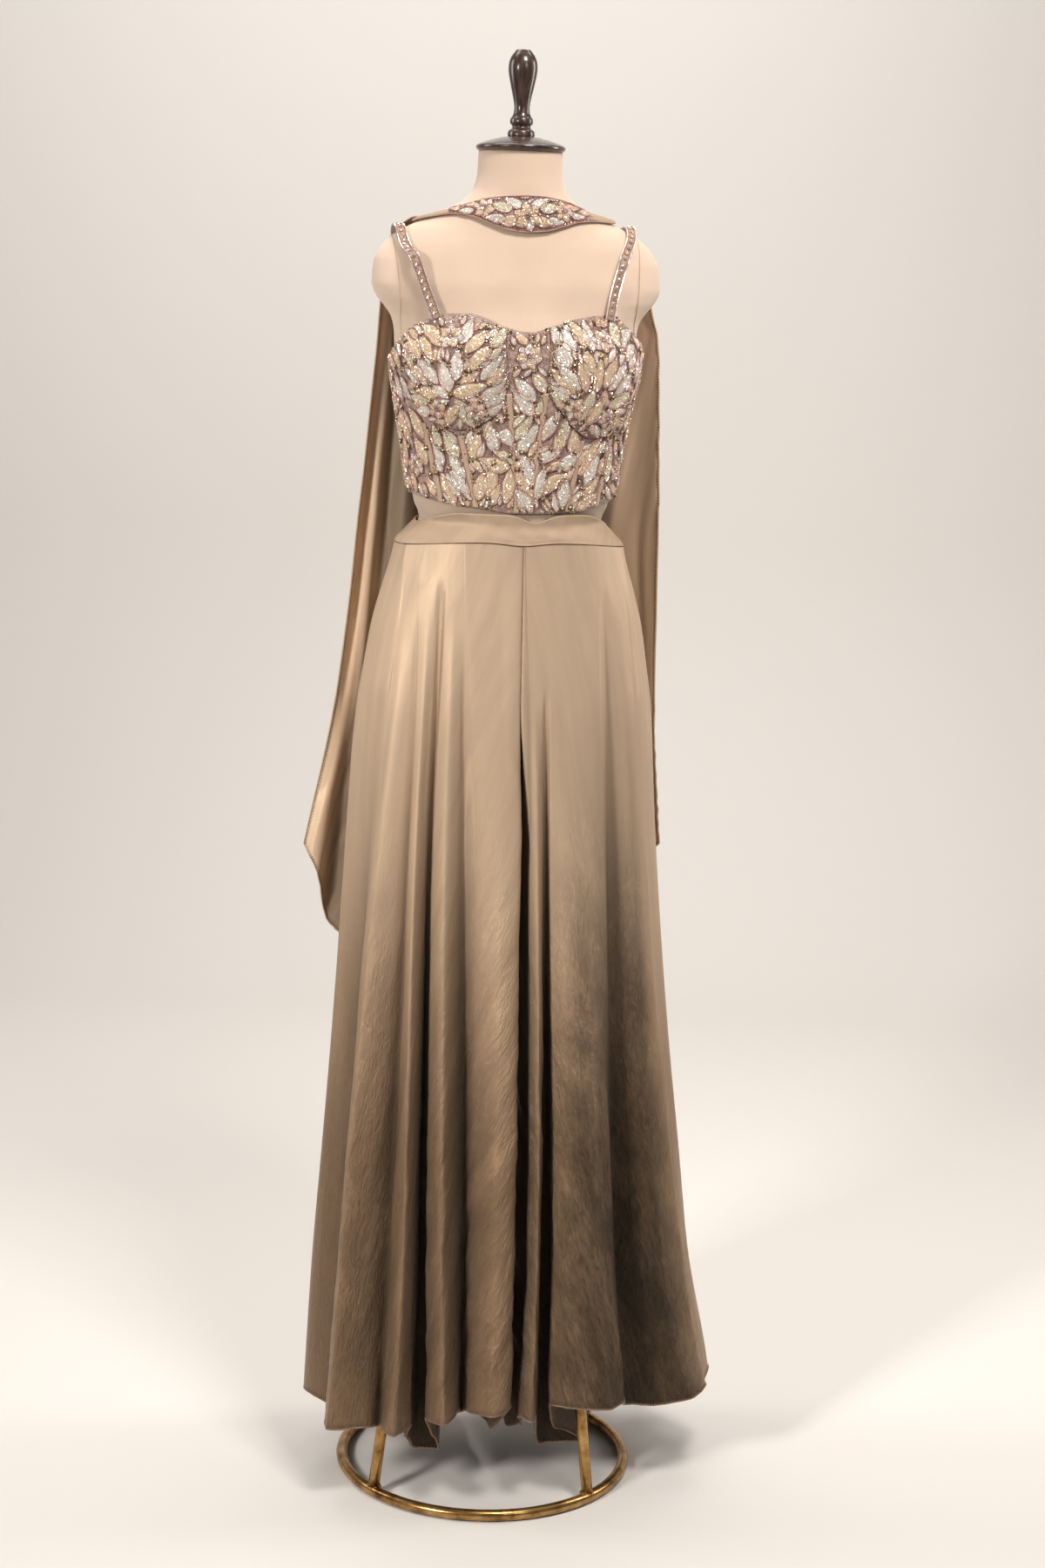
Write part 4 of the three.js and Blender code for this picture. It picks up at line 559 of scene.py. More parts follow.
def corset():
    for name, spec in PANELS.items():
        nu, nv = spec[4:6]
        U, V = np.meshgrid(np.linspace(0, 1, nu), np.linspace(0, 1, nv), indexing="ij")
        d, z = solve_panel(spec, U, V); th = d * D2R
        N = body_normals(corset_at, th, z)
        # stitched edges pulled in, soft quilting between
        edge = np.minimum(np.minimum(U * 1.0, 1 - U) * nu * 2.2, np.minimum(V, 1 - V) * nv * 2.2)
        P = corset_at(th, z) - N * (0.5 * np.exp(-edge / 3))[..., None]
        PANEL_GRIDS[name] = (P, N)
        o = shell(name + "_look", P, N, CORSET_WALL, [GROUND], uv_off=(abs(hash_name(name)) % 7 * .31, 0))
        fit(o, "embroidery", name); PANEL_SHELLS[name] = o
        A = area_of(P); w = float(np.linalg.norm(np.diff(P[:, nv // 2], axis=0), axis=1).sum()) * MM; l = float(np.linalg.norm(np.diff(P[nu // 2], axis=0), axis=1).sum()) * MM
        PANEL_CUT[name] = (w, l, A)
PANEL_GRIDS, PANEL_SHELLS, PANEL_CUT, SHEET_WITH = {}, {}, {}, {}
def hash_name(s): return sum(ord(c) * (i + 3) for i, c in enumerate(s))
CUTS = {}
def cut(o, w, l, A, held, rests, with_pieces=()):
    w, l = max(w, .02), max(l, .02)
    k = 1.0
    if A > w * l: k = math.sqrt(A / (w * l)) * 1.001
    w, l = round(w * k + .0004, 4), round(l * k + .0004, 4)
    A = min(max(A, 0.301 * w * l), w * l)
    CUTS[o.name] = (w, l, round(A, 5))
corset()
def channels():
    for n, (d0, d1, zt) in BONES.items():
        nu, nv = 9, 60
        U, V = np.meshgrid(np.linspace(-1, 1, nu), np.linspace(0, 1, nv), indexing="ij"); w = 3.4 / 110 / D2R
        d = d0 + U * w
        for _ in range(6): z = mix(hem_z(d) + 1.2, zt - (9.0 if abs(d1) > 50 else 5), V); d = bone_deg(n, z) + U * w
        th = d * D2R; N = body_normals(corset_at, th, z)
        P = corset_at(th, z) + N * (1.35 + 0.55 * np.sqrt(np.clip(1 - U * U, 0, 1)))[..., None]
        P += N * (-0.25 * np.exp(-((np.abs(U) - .72) / .09) ** 2))[..., None]   # stitched lines
        o = shell("boning_channel_" + n + "_look", P, N, 1.0, [CHANNEL])
        fit(o, "plain_channel_satin", "boning_channel_" + n)
        cut(o, 0.0085, (zt - 1214) * MM, area_of(P), "stretched", ["corset_front_centre"])
channels()

# ------------------------------------------------------------------ embroidery, laid by rule and filled up until it is dense
class Field:
    """a patch of cloth with its own flat coordinates (mm) and a map onto the garment"""
    def __init__(self, P, N):
        self.P, self.N = P, N; self.U = arc(P, 0); self.V = arc(P, 1)
        self.su = np.median(self.U[-1]); self.sv = np.median(self.V[:, -1])
    def at(self, i, j):
        i = np.clip(i, 0, self.P.shape[0] - 1.001); j = np.clip(j, 0, self.P.shape[1] - 1.001); a = i.astype(int); b = j.astype(int); s = (i - a)[..., None]; t = (j - b)[..., None]
        f = lambda G: G[a, b] * (1 - s) * (1 - t) + G[a + 1, b] * s * (1 - t) + G[a, b + 1] * (1 - s) * t + G[a + 1, b + 1] * s * t
        n = f(self.N); return f(self.P), n / np.linalg.norm(n, axis=-1, keepdims=True)
    def local(self, p):
        """grid index, point and unit frame (across, up, out) at grid position p"""
        e = .5; i, j = np.array([p[0]]), np.array([p[1]]); c, n = self.at(i, j); a, _ = self.at(i + e, j); b, _ = self.at(i - e, j); x = (a - b)[0]; lx = np.linalg.norm(x)
        a, _ = self.at(i, j + e); b, _ = self.at(i, j - e); y = (a - b)[0]; ly = np.linalg.norm(y); return c[0], n[0], x / max(lx, 1e-6), y / max(ly, 1e-6), lx / (2 * e), ly / (2 * e)
    def lay(self, p, dx, dy, h):
        """points at flat offsets dx, dy (mm) from grid position p, h mm off the cloth"""
        c, n, x, y, lx, ly = self.local(p); k = float(np.dot(x, y)); k = max(-.6, min(.6, k))
        # skew-corrected step on the grid
        u = (dx - dy * k / math.sqrt(1 - k * k)); v = dy / math.sqrt(1 - k * k)
        P, N = self.at(p[0] + u / max(lx, .05), p[1] + v / max(ly, .05)); return P + N * np.asarray(h)[..., None], N
def leaf_outline(L, W, k, wob=0.0):
    """points round a leaf, tip at +L/2, base at -L/2"""
    t = np.linspace(0, 1, k); w = W / 2 * np.sin(np.pi * t) ** .72 * (1 + .30 * (0.5 - t)); x = (t - .5) * L
    return x, w * (1 + wob * np.sin(9 * t))
BEDS = ["leaf_bed_gold", "leaf_bed_silver", "leaf_bed_green"]; THREADS = ["thread_gold", "thread_silver", "thread_green_gold"]
EMB_LIST = BEDS + THREADS + ["bead_mauve", "bead_silver", "stone_gold", "stone_dark", "thread_rose"]
EI = {n: i for i, n in enumerate(EMB_LIST)}
SEQ = 1.0       # how many of the sequins are laid
def sequin(bag, c, n, r, mat, tilt, rr):
    t = rr.normal(0, tilt, 3); m = n + t; m /= np.linalg.norm(m); a = np.cross(m, [0.31, .2, .93]); a /= np.linalg.norm(a); b = np.cross(m, a); ang = np.arange(5) / 5 * 2 * np.pi + rr.uniform(0, 1)
    bag.add(c + r * (np.cos(ang)[:, None] * a + np.sin(ang)[:, None] * b) + m * .1, [[0, 1, 2, 3, 4]], mat)
def leaf(bag, F, p, ang, L, W, kind, rr, h0=1.0):
    ca, sa = math.cos(ang), math.sin(ang); nt = 9; x, w = leaf_outline(L, W, nt); ks = np.linspace(-1, 1, 5)
    X = np.repeat(x[:, None], 5, 1); Y = w[:, None] * ks[None]; H = h0 + 1.7 * (1 - ks[None] ** 2) * np.sin(np.pi * np.clip((x[:, None] / L + .5), .04, .96)) ** .5 - .55 * (np.abs(ks[None]) < .01)
    P, N = F.lay(p, (X * ca - Y * sa).ravel(), (X * sa + Y * ca).ravel(), H.ravel()); idx = np.arange(nt * 5).reshape(nt, 5)
    bag.add(P, np.stack([idx[:-1, :-1], idx[1:, :-1], idx[1:, 1:], idx[:-1, 1:]], -1).reshape(-1, 4), EI[BEDS[kind]])
    # chevron rows of sequins and thread on each half
    rows = max(5, int(L / 2.1)); per = max(2, int(W / 3.4))
    qx, qy, qh = [], [], []
    for i in range(rows):
        t = (i + .7) / (rows + .4)
        ww = W / 2 * math.sin(math.pi * t) ** .72 * (1 + .30 * (0.5 - t))
        for sd in (-1, 1):
            for j in range(per):
                g = (j + .55) / per
                if rr.random() > SEQ: continue
                qx.append((t - .5) * L - g * ww * .62 + L * .05); qy.append(sd * g * ww * .93); qh.append(h0 + 1.7 * (1 - g * g) * math.sin(math.pi * min(max(t, .05), .95)) ** .5 + .25)
    if qx:
        qx, qy, qh = map(np.array, (qx, qy, qh)); keep = np.abs(qx) < L * .5; qx, qy, qh = qx[keep], qy[keep], qh[keep]
        P, N = F.lay(p, qx * ca - qy * sa, qx * sa + qy * ca, qh)
        for q in range(len(P)): sequin(bag, P[q], N[q], rr.uniform(.75, 1.12), EI[THREADS[kind]] if rr.random() < .84 else EI["thread_rose" if rr.random() < .5 else THREADS[(kind + 1) % 3]], .42, rr)
    # bead cord round the edge
    xs = np.concatenate([x, x[::-1]]); ys = np.concatenate([w, -w[::-1]]) * 1.05
    P, N = F.lay(p, xs * ca - ys * sa, xs * sa + ys * ca, np.full(len(xs), h0 + .75)); cord(bag, P, N, .85, EI["bead_mauve"] if rr.random() < .75 else EI["thread_rose"])
def cord(bag, P, N, r, mat):
    """low three-sided ridge along P"""
    T = np.gradient(P, axis=0); T /= np.maximum(np.linalg.norm(T, axis=1, keepdims=True), 1e-6); W = np.cross(T, N); n = len(P)
    V = np.stack([P - W * r - N * .35, P + N * r * 1.25, P + W * r - N * .35], 1).reshape(-1, 3); F = []
    for i in range(n - 1): F += [[i * 3, i * 3 + 1, i * 3 + 4, i * 3 + 3], [i * 3 + 1, i * 3 + 2, i * 3 + 5, i * 3 + 4]]
    bag.add(V, F, mat)
def bead(bag, c, n, r, mat):
    a = np.cross(n, [0.2, .3, .93]); a /= max(np.linalg.norm(a), 1e-6); b = np.cross(n, a); ang = np.arange(6) / 6 * 2 * np.pi; ring = np.cos(ang)[:, None] * a + np.sin(ang)[:, None] * b
    V = np.concatenate([c + ring * r - n * .2, c + ring * r * .72 + n * r * .62, [c + n * r * .95]]); F = [[i, (i + 1) % 6, 6 + (i + 1) % 6, 6 + i] for i in range(6)] + [[6 + i, 6 + (i + 1) % 6, 12] for i in range(6)]
    bag.add(V, F, mat)
def stone(bag, c, n, x, size, ang, mat):
    """faceted square-cut stone on its point"""
    y = np.cross(n, x); a = math.cos(ang) * x + math.sin(ang) * y; b = -math.sin(ang) * x + math.cos(ang) * y; s = size / 2
    k = [(1, 0), (0, 1), (-1, 0), (0, -1)]; base = [c + (u * a + v * b) * s - n * .2 for u, v in k]; mid = [c + (u * a + v * b) * s + n * size * .16 for u, v in k]; top = [c + (u * a + v * b) * s * .42 + n * size * .34 for u, v in k]
    V = np.array(base + mid + top); F = []
    for i in range(4): j = (i + 1) % 4; F += [[i, j, 4 + j, 4 + i], [4 + i, 4 + j, 8 + j, 8 + i]]
    F.append([8, 9, 10, 11]); bag.add(V, F, mat)
def cluster(bag, F, p, rr, size=3.4):
    c, n, x, y, _, _ = F.local(p)
    for k in range(4):
        g = k * math.pi / 2 + .78; P, N = F.lay(p, np.array([math.cos(g) * size * .78]), np.array([math.sin(g) * size * .78]), np.array([1.1])); stone(bag, P[0], N[0], x, size, g, EI["stone_gold"] if (k + rr.integers(0, 3)) % 3 else EI["stone_dark"])
    P, N = F.lay(p, np.zeros(1), np.zeros(1), np.array([2.0])); bead(bag, P[0], N[0], 1.0, EI["bead_silver"])
def rosette(bag, F, p, rad, rr, petals=7):
    a0 = rr.uniform(0, 6.28)
    for k in range(petals):
        g = a0 + k * 2 * math.pi / petals; d = rad * .60; c, n, x, y, lx, ly = F.local(p)
        kk = max(-.6, min(.6, float(np.dot(x, y)))); u = d * math.cos(g) - d * math.sin(g) * kk / math.sqrt(1 - kk * kk); v = d * math.sin(g) / math.sqrt(1 - kk * kk)
        leaf(bag, F, (p[0] + u / max(lx, .05), p[1] + v / max(ly, .05)), g, rad * .98, rad * .84, int(k % 2 == 0) if rr.random() < .85 else 0, rr, 1.1 + .25 * (k % 2))
    for k in range(9):
        g = k * 2 * math.pi / 9; P, N = F.lay(p, np.array([math.cos(g) * rad * .24]), np.array([math.sin(g) * rad * .24]), np.array([2.3])); bead(bag, P[0], N[0], 1.05, EI["bead_mauve"])
    cluster(bag, F, p, rr, 3.0)
def fill(bag, F, mask, plan, seed, gap=(12.0, 31.0), tries=900, sizes=(40, 15.5)):
    """leaves on a flowing direction field, thrown until the patch is full. plan(x, y) in flat mm -> angle; mask(i, j) -> inside"""
    rr = np.random.default_rng(seed); placed = []
    def free(c, ang, L, W):
        for (q, a2, L2, W2) in placed:
            d = c - q; dist = np.linalg.norm(d)
            if dist > (L + L2) / 2 + 1: continue
            # points of the leaf's axis against the other's axis
            for s in (-.42, -.15, .15, .42):
                pt = c + s * L * np.array([math.cos(ang), math.sin(ang)]) - q; al = pt[0] * math.cos(a2) + pt[1] * math.sin(a2); ac = -pt[0] * math.sin(a2) + pt[1] * math.cos(a2)
                if (al / (L2 / 2 * .98)) ** 2 + (ac / ((W2 + W) / 2 * .74)) ** 2 < 1: return False
        return True
    nu, nv = F.P.shape[:2]
    def try_leaf(scale, n):
        for _ in range(n):
            i, j = rr.uniform(0, nu - 1), rr.uniform(0, nv - 1)
            if not mask(i, j): continue
            pt = np.array([i / (nu - 1) * F.su, j / (nv - 1) * F.sv]); ang = plan(*pt) + rr.normal(0, .16); L = sizes[0] * scale * rr.uniform(.86, 1.12); W = sizes[1] * scale * rr.uniform(.9, 1.12)
            ends = [(i + s * L * math.cos(ang) / F.su * (nu - 1), j + s * L * math.sin(ang) / F.sv * (nv - 1)) for s in (-.40, .40)]
            if not all(mask(*e) for e in ends): continue
            if free(pt, ang, L, W): placed.append((pt, ang, L, W)); leaf(bag, F, (i, j), ang, L, W, int(rr.choice(3, p=[.40, .44, .16])), rr)
    return placed, try_leaf, rr
def scatter(bag, F, mask, placed, rr, n):
    """gold stones and beads in the gaps that the leaves leave"""
    nu, nv = F.P.shape[:2]; done = []
    for _ in range(n):
        i, j = rr.uniform(0, nu - 1), rr.uniform(0, nv - 1)
        if not mask(i, j): continue
        pt = np.array([i / (nu - 1) * F.su, j / (nv - 1) * F.sv]); ok = True
        for (q, a2, L2, W2) in placed:
            d = pt - q; al = d[0] * math.cos(a2) + d[1] * math.sin(a2); ac = -d[0] * math.sin(a2) + d[1] * math.cos(a2)
            if (al / (L2 / 2 + .4)) ** 2 + (ac / (W2 / 2 + .4)) ** 2 < 1: ok = False; break
        if not ok: continue
        near = min((np.linalg.norm(pt - q) for q in done), default=99)
        if near > 6.5 and rr.random() < .6: cluster(bag, F, (i, j), rr, rr.uniform(3.0, 4.2)); done.append(pt)
        elif near > 1.7:
            P, N = F.lay((i, j), np.zeros(1), np.zeros(1), np.array([.7])); done.append(pt)
            if rr.random() < .5: bead(bag, P[0], N[0], .8, EI["bead_mauve"])
            else: sequin(bag, P[0], N[0], 1.1, EI["thread_silver"], .35, rr)
def embroider():
    mats = [EMB[n] for n in EMB_LIST]
    for name, (P, N) in PANEL_GRIDS.items():
        F = Field(P, N); nu, nv = P.shape[:2]; bag = Bag(); seed = hash_name(name); front = "side_back" not in name
        m_in = 2.2
        def mask(i, j, F=F, nu=nu, nv=nv):
            if not (0 <= i <= nu - 1 and 0 <= j <= nv - 1): return False
            jj = int(min(max(j, 0), nv - 1)); ii = int(min(max(i, 0), nu - 1)); w = F.U[-1, jj]; h = F.V[ii, -1]; a, b = i / (nu - 1) * w, j / (nv - 1) * h
            return a > m_in and w - a > m_in and b > m_in and h - b > m_in
        su, sv = F.su, F.sv; sd = -1 if name.endswith("right") else 1
        if "cup" in name:      # leaves fan out from a point low on the cup
            c = (su * (.50), sv * .30); plan_ = lambda x, y, c=c: math.atan2(y - c[1], x - c[0]) if math.hypot(x - c[0], y - c[1]) > 14 else math.pi / 2
        elif "centre" in name: plan_ = lambda x, y, su=su: math.pi / 2 + (0.62 if x > su / 2 else -.62) * (1 if int(y / 30) % 2 else -1)
        elif "inner" in name: plan_ = lambda x, y, sd=sd: math.pi / 2 - sd * (.55 if int(y / 34) % 2 else -.45)
        elif "outer" in name: plan_ = lambda x, y, sd=sd: math.pi / 2 - sd * .75
        else: plan_ = lambda x, y, sd=sd: math.pi / 2 + .6 * math.sin(x / 34) + .35 * math.cos(y / 27)
        placed, try_leaf, rr = fill(bag, F, mask, plan_, seed)
        def ros(u, v, rad, pet=7):
            p = (u * (nu - 1), v * (nv - 1)); rosette(bag, F, p, rad, rr, pet); placed.append((np.array([u * su, v * sv]), 0.0, rad * 2.15, rad * 2.15))
        if "cup_right" in name: ros(.50, .80, 14.5); ros(.30, .17, 12.0, 6); ros(.66, .15, 12.0, 6)
        if "cup_left" in name: ros(.56, .80, 14.5); ros(.33, .15, 12.0, 6); ros(.70, .18, 12.0, 6)
        if "centre" in name: ros(.5, .865, 14.0)
        if "side_back" in name:
            e = (0.90, 0.10) if name.endswith("right") else (0.10, 0.90)
            ros(e[0], .20, 13.5); ros(.62, .74, 13.0); ros(.34, .30, 13.0); ros(.12 if e[0] > .5 else .88, .72, 12.0)
        k = 1.0
        area_ = su * sv / 1000; try_leaf(1.0, int(200 * area_ * k)); try_leaf(.8, int(170 * area_ * k)); try_leaf(.58, int(220 * area_ * k)); try_leaf(.36, int(200 * area_ * k))
        scatter(bag, F, mask, placed, rr, int(170 * area_ * k))
        tips = [(q + s_ * .52 * L_ * np.array([math.cos(a_), math.sin(a_)])) for q, a_, L_, W_ in placed if L_ > 24 and L_ != W_ for s_ in (-1, 1)]; kept = []
        for q in tips:
            i, j = q[0] / su * (nu - 1), q[1] / sv * (nv - 1)
            if mask(i, j) and all(np.linalg.norm(q - o_) > 19 for o_ in kept) and rr.random() < .75: kept.append(q); c_, n_, x_, y_, _, _ = F.local((i, j)); [stone(bag, c_ + n_ * 2.2 + (x_ * math.cos(g) + y_ * math.sin(g)) * 2.7, n_, x_, 3.8, g, EI["stone_gold"] if g < 3 else EI["stone_dark"]) for g in (.78, 2.36, 3.93, 5.5)]; bead(bag, c_ + n_ * 3.0, n_, 1.2, EI["bead_silver"])
        o = bag.make(name + "_embroidery", mats, smooth=False); fit(o, "embroidery")
        SHEET_WITH.setdefault(name, []).append(o)

# ------------------------------------------------------------------ trousers
def hip_y(x, z, back):
    a = np.where(x < 0, tab(HIPS, z, 1), tab(HIPS, z, 2)); b = tab(HIPS, z, 4) if back else tab(HIPS, z, 3); n = tab(HIPS, z, 5)
    q = 1 - np.abs(np.clip(x / a, -1, 1)) ** n
    return (1 if back else -1) * b * np.maximum(q, 0) ** (1 / n)
def soft_run(z, xh, x310, x790, top):
    """the table's run of a fold, with its bends rounded over"""
    zs = np.asarray(z, float); out = 0
    for o, w in ((-90, .15), (-45, .22), (0, .26), (45, .22), (90, .15)): out = out + w * tab([[100, xh], [310, x310], [790, x790], [1176, top]], zs + o * sstep(100, 200, zs) * sstep(1176, 1060, zs), 1)
    return out
def fold_knot(key, i, z):
    f0, x790, x310, xh, push, frm, _ = FOLDS[key][i]; back = key.startswith("back"); s = -1 if key.endswith("right") else 1
    at = 136.0
    x = soft_run(z, xh, x310, x790, f0 * at)
    if abs(f0) < .01:
        low = tab([[100, xh], [310, x310], [790, x790]], z, 1); g = sstep(1000, 800, z)
        x = np.where(z > 1000, s * SEAM / 2, mix(x790 * g + s * SEAM / 2 * (1 - g), low, sstep(860, 780, z)))
    a = tab(HIPS, z, 1 if s < 0 else 2); ax = np.where(x < 0, tab(HIPS, z, 1), tab(HIPS, z, 2))
    x = np.clip(x, -ax * .9995, ax * .9995)
    if i == 0: x = s * a * .9995
    if i > 1 and (8 <= push <= 13 or -9 <= push <= -4): push = push * 1.7      # the fine cloth rounds its lobes more than the faceted one
    t = np.clip((frm - z) / (frm - 100), 0, 1); amt = push * t ** .75
    y = hip_y(x, z, back)
    y2 = hip_y(np.clip(x - s, -ax * .999, ax * .999), z, back)
    tx, ty = s * np.ones_like(y), y - y2; l = np.hypot(tx, ty); nx, ny = -ty / l, tx / l
    flip = np.where(nx * (s * 90 - x) + ny * (0 - y) < 0, -1, 1)
    return np.stack([x + nx * flip * amt, y + ny * flip * amt], -1)
ZG = np.arange(50.0, 1181.0, 5.0)
def knots_grid(key):
    K = [fold_knot(key, i, ZG) for i in range(len(FOLDS[key]))]
    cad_, bk = key.replace("back", "front"), key.replace("front", "back"); s = -1 if key.endswith("right") else 1
    A = K[-1]; Fm = fold_knot(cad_, len(FOLDS[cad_]) - 1, ZG); Bm = fold_knot(bk, len(FOLDS[bk]) - 1, ZG); mx = (Fm[:, 0] + Bm[:, 0]) / 2
    for share, sh0, sh1, _ in INNER:
        shift = mix(sh1, sh0, np.clip((ZG - 100) / 760, 0, 1))
        K.append(np.stack([mix(A[:, 0], mx, share) + s * shift, mix(A[:, 1], INSEAM_Y, share)], -1))
    return np.stack(K, 0)            # knot, z, xy
KG = {k: knots_grid(k) for k in FOLDS}
def plan(key, q, z):
    G = KG[key]; n = G.shape[0]
    zi = np.clip((z - ZG[0]) / 5.0, 0, len(ZG) - 1.001); z0 = zi.astype(int); tz = (zi - z0)[..., None]
    i = np.clip(np.floor(q).astype(int), 0, n - 2); t = (q - i)[..., None]
    def at(k):
        kk = np.clip(k, 0, n - 1); v = G[kk, z0] * (1 - tz) + G[kk, z0 + 1] * tz
        g = G[1, z0] * (1 - tz) + G[1, z0 + 1] * tz
        ghost0 = np.stack([g[..., 0], -g[..., 1]], -1)
        e = G[n - 1, z0] * (1 - tz) + G[n - 1, z0 + 1] * tz; e2 = G[n - 2, z0] * (1 - tz) + G[n - 2, z0 + 1] * tz
        v = np.where((k < 0)[..., None], ghost0, v); return np.where((k > n - 1)[..., None], 2 * e - e2, v)
    a, b, c, d = at(i - 1), at(i), at(i + 1), at(i + 2); m0 = (c - a) * .42; m1 = (d - b) * .42
    return b * (1 + 2 * t) * (1 - t) ** 2 + m0 * t * (1 - t) ** 2 + c * t * t * (3 - 2 * t) + m1 * t * t * (t - 1)
def seam_z(x): return 1169 + 9.5 * (1 - np.abs(x / 137) ** 3) - 3.5 * np.exp(-((x / 26) ** 2))
def hem_at(key, q):
    H = np.array([r[6] for r in FOLDS[key]] + [r[3] for r in INNER], float)
    i = np.clip(np.floor(q).astype(int), 0, len(H) - 2); t = q - i; return mix(H[i], H[i + 1], t * t * (3 - 2 * t))
def put(o, name, a, outer=1.0):
    """one number a point on both faces of the cloth, scaled on the outer face"""
    a = np.asarray(a, np.float32).ravel(); o.data.attributes.new(name, "FLOAT", "POINT").data.foreach_set("value", np.concatenate([a * outer, a]).astype(np.float32))
def trousers():
    hems = {}
    for key in FOLDS:
        n0 = len(FOLDS[key]) - 1; ni = len(INNER); back = key.startswith("back"); s = -1 if key.endswith("right") else 1
        per = 7; nv = 92 if back else 150
        base = np.linspace(0, n0 + ni, (n0 + ni) * per + 1); v = np.linspace(0, 1, nv)
        B, V = np.meshgrid(base, v, indexing="ij"); zr = mix(1172, 95, V)
        lam = 1 - sstep(CROTCH, CROTCH_TOP, zr)
        Q = np.where(B <= n0 - 1, B, n0 - 1 + (B - n0 + 1) / (ni + 1) * (1 + ni * lam))
        P0 = plan(key, Q, zr); top = seam_z(P0[..., 0]) - 0.5
        H = hem_at(key, Q)
        Z = np.where(V < .2, mix(top, zr, sstep(0, .2, V)), mix(zr, mix(1172, H, V), sstep(.35, .8, V)))
        XY = plan(key, Q, np.maximum(Z, 60))
        w_ = np.clip(1 - Q, 0, 1); w_ = w_ * w_ * (3 - 2 * w_)      # front and back meet at the side seam
        XY[..., 1] -= (XY[:1, :, 1] - (.3 if back else -.3)) * w_
        P = np.concatenate([XY, Z[..., None]], -1)
        N = grid_normals(P)
        c = N[P.shape[0] // 3, nv // 2]; pc = P[P.shape[0] // 3, nv // 2]
        if c[0] * (pc[0] - s * 95) + c[1] * pc[1] < 0: N = -N
        # soft uneven ripples, stronger low down; small pulls under the waistband; crushed dents near the hem
        sx = arc(P, 0); low = sstep(1100, 250, Z); seed = {"front_right": 1, "front_left": 2, "back_right": 3, "back_left": 4}[key]
        tame = sstep(0, 22, sx) * sstep(0, 22, sx[-1:] - sx)
        d = (2.4 * low * waves(seed, sx, Z, 9, 62, 520) + 1.5 * low * waves(seed + 10, sx, Z, 9, 24, 260)
             + 1.1 * sstep(800, 250, Z) * waves(seed + 20, sx + Z * .7, Z, 12, 17, 70)
             + 0.5 * sstep(1080, 1165, Z) * waves(seed + 30, sx, Z, 7, 14, 80) * sstep(60, 130, np.abs(P[..., 0])))
        P = P + N * (d * tame * np.where(Z > 1165, .3, 1))[..., None]
        N2 = grid_normals(P); N2 *= np.sign((N2 * N).sum(-1, keepdims=True))
        o = shell("trouser_" + key + "_look", P, N2, 1.1, [SATIN], uv_off=(seed * 1.3, 0.0))
        # painted shade and light: fold_shade darkens the fold valleys, the inner leg and the lobes turned from the
        # light, and lightens the lit lobes, more so low down; on the back panels it darkens each valley by its depth
        T_ = list(PAINTED_FOLD_LIGHT_AND_SHADE[key]) if key in PAINTED_FOLD_LIGHT_AND_SHADE else [1 - .5 * min(max(r[4] / 40, 0), 1) for r in FOLDS[key]]; C_ = list(CRUSH_AND_REFLECTION_TABLE.get(key, [.3] * (n0 + 1)))
        T_ = np.interp(B, np.arange(n0 + ni + 1), T_ + [.5] * ni); C_ = np.interp(B, np.arange(n0 + ni + 1), C_ + [.2] * ni)
        put(o, "fold_shade", (1 - T_) * np.where(T_ < 1, sstep(1110, 520, P[..., 2]), sstep(900, 400, P[..., 2]))); put(o, "crush_and_painted_reflection", C_)
        fit(o, "taupe_satin", "trouser_" + key)
        # rolled hem with a light thread, with short stitches along it
        b = Bag(); e = P[:, -1].copy(); e[:, 2] += 0.2
        V1, F1 = tube(e - N2[:, -1] * .55, 1.15, 7); b.add(V1, F1)
        k = np.arange(0, len(e) - 1, 1); tt = arc(e[:, None], 0)[:, 0]
        step = 3.4; pos = np.arange(1.5, tt[-1] - 1.5, step); ex = [np.interp(pos, tt, e[:, j]) for j in range(3)]; nx = [np.interp(pos, tt, N2[:, -1, j]) for j in range(3)]
        for q in range(len(pos)):
            p = np.array([ex[0][q], ex[1][q], ex[2][q]]); nn = np.array([nx[0][q], nx[1][q], nx[2][q]])
            V2, F2 = tube([p + nn * .55 + [0, 0, 3.2], p + nn * .75 + [0, 0, 1.0], p + nn * .2 + [0, 0, -1.0]], 0.28, 4); b.add(V2, F2, 1)
        ho = b.make("hem_roll_" + key, [SATIN, THREAD]); fit(ho, "taupe_satin")
        A = area_of(P); w = float(sx[-1, int(nv * .98)]) * MM; l = 1.13
        cut(o, w, l, A, "hung", ["waistband_back" if back else "waistband_front", "form_torso"], [ho])
trousers()
embroider()
for _n, _o in PANEL_SHELLS.items():
    cut(_o, *PANEL_CUT[_n], "stretched", ["form_torso"], SHEET_WITH.get(_n, []))
def band_at(th, z):
    w = sstep(1180, 1165, z); r = section_r(TORSO, th, z); hz = np.clip(z, 1100, 1176); n = tab(HIPS, hz, 5)
    a = np.where(np.sin(th) < 0, tab(HIPS, hz, 1), tab(HIPS, hz, 2)); b = np.where(np.cos(th) >= 0, tab(HIPS, hz, 3), tab(HIPS, hz, 4))
    rh = (np.abs(np.sin(th) / a) ** n + np.abs(np.cos(th) / b) ** n) ** (-1 / n); return polar(mix(r, rh, w), th, z)
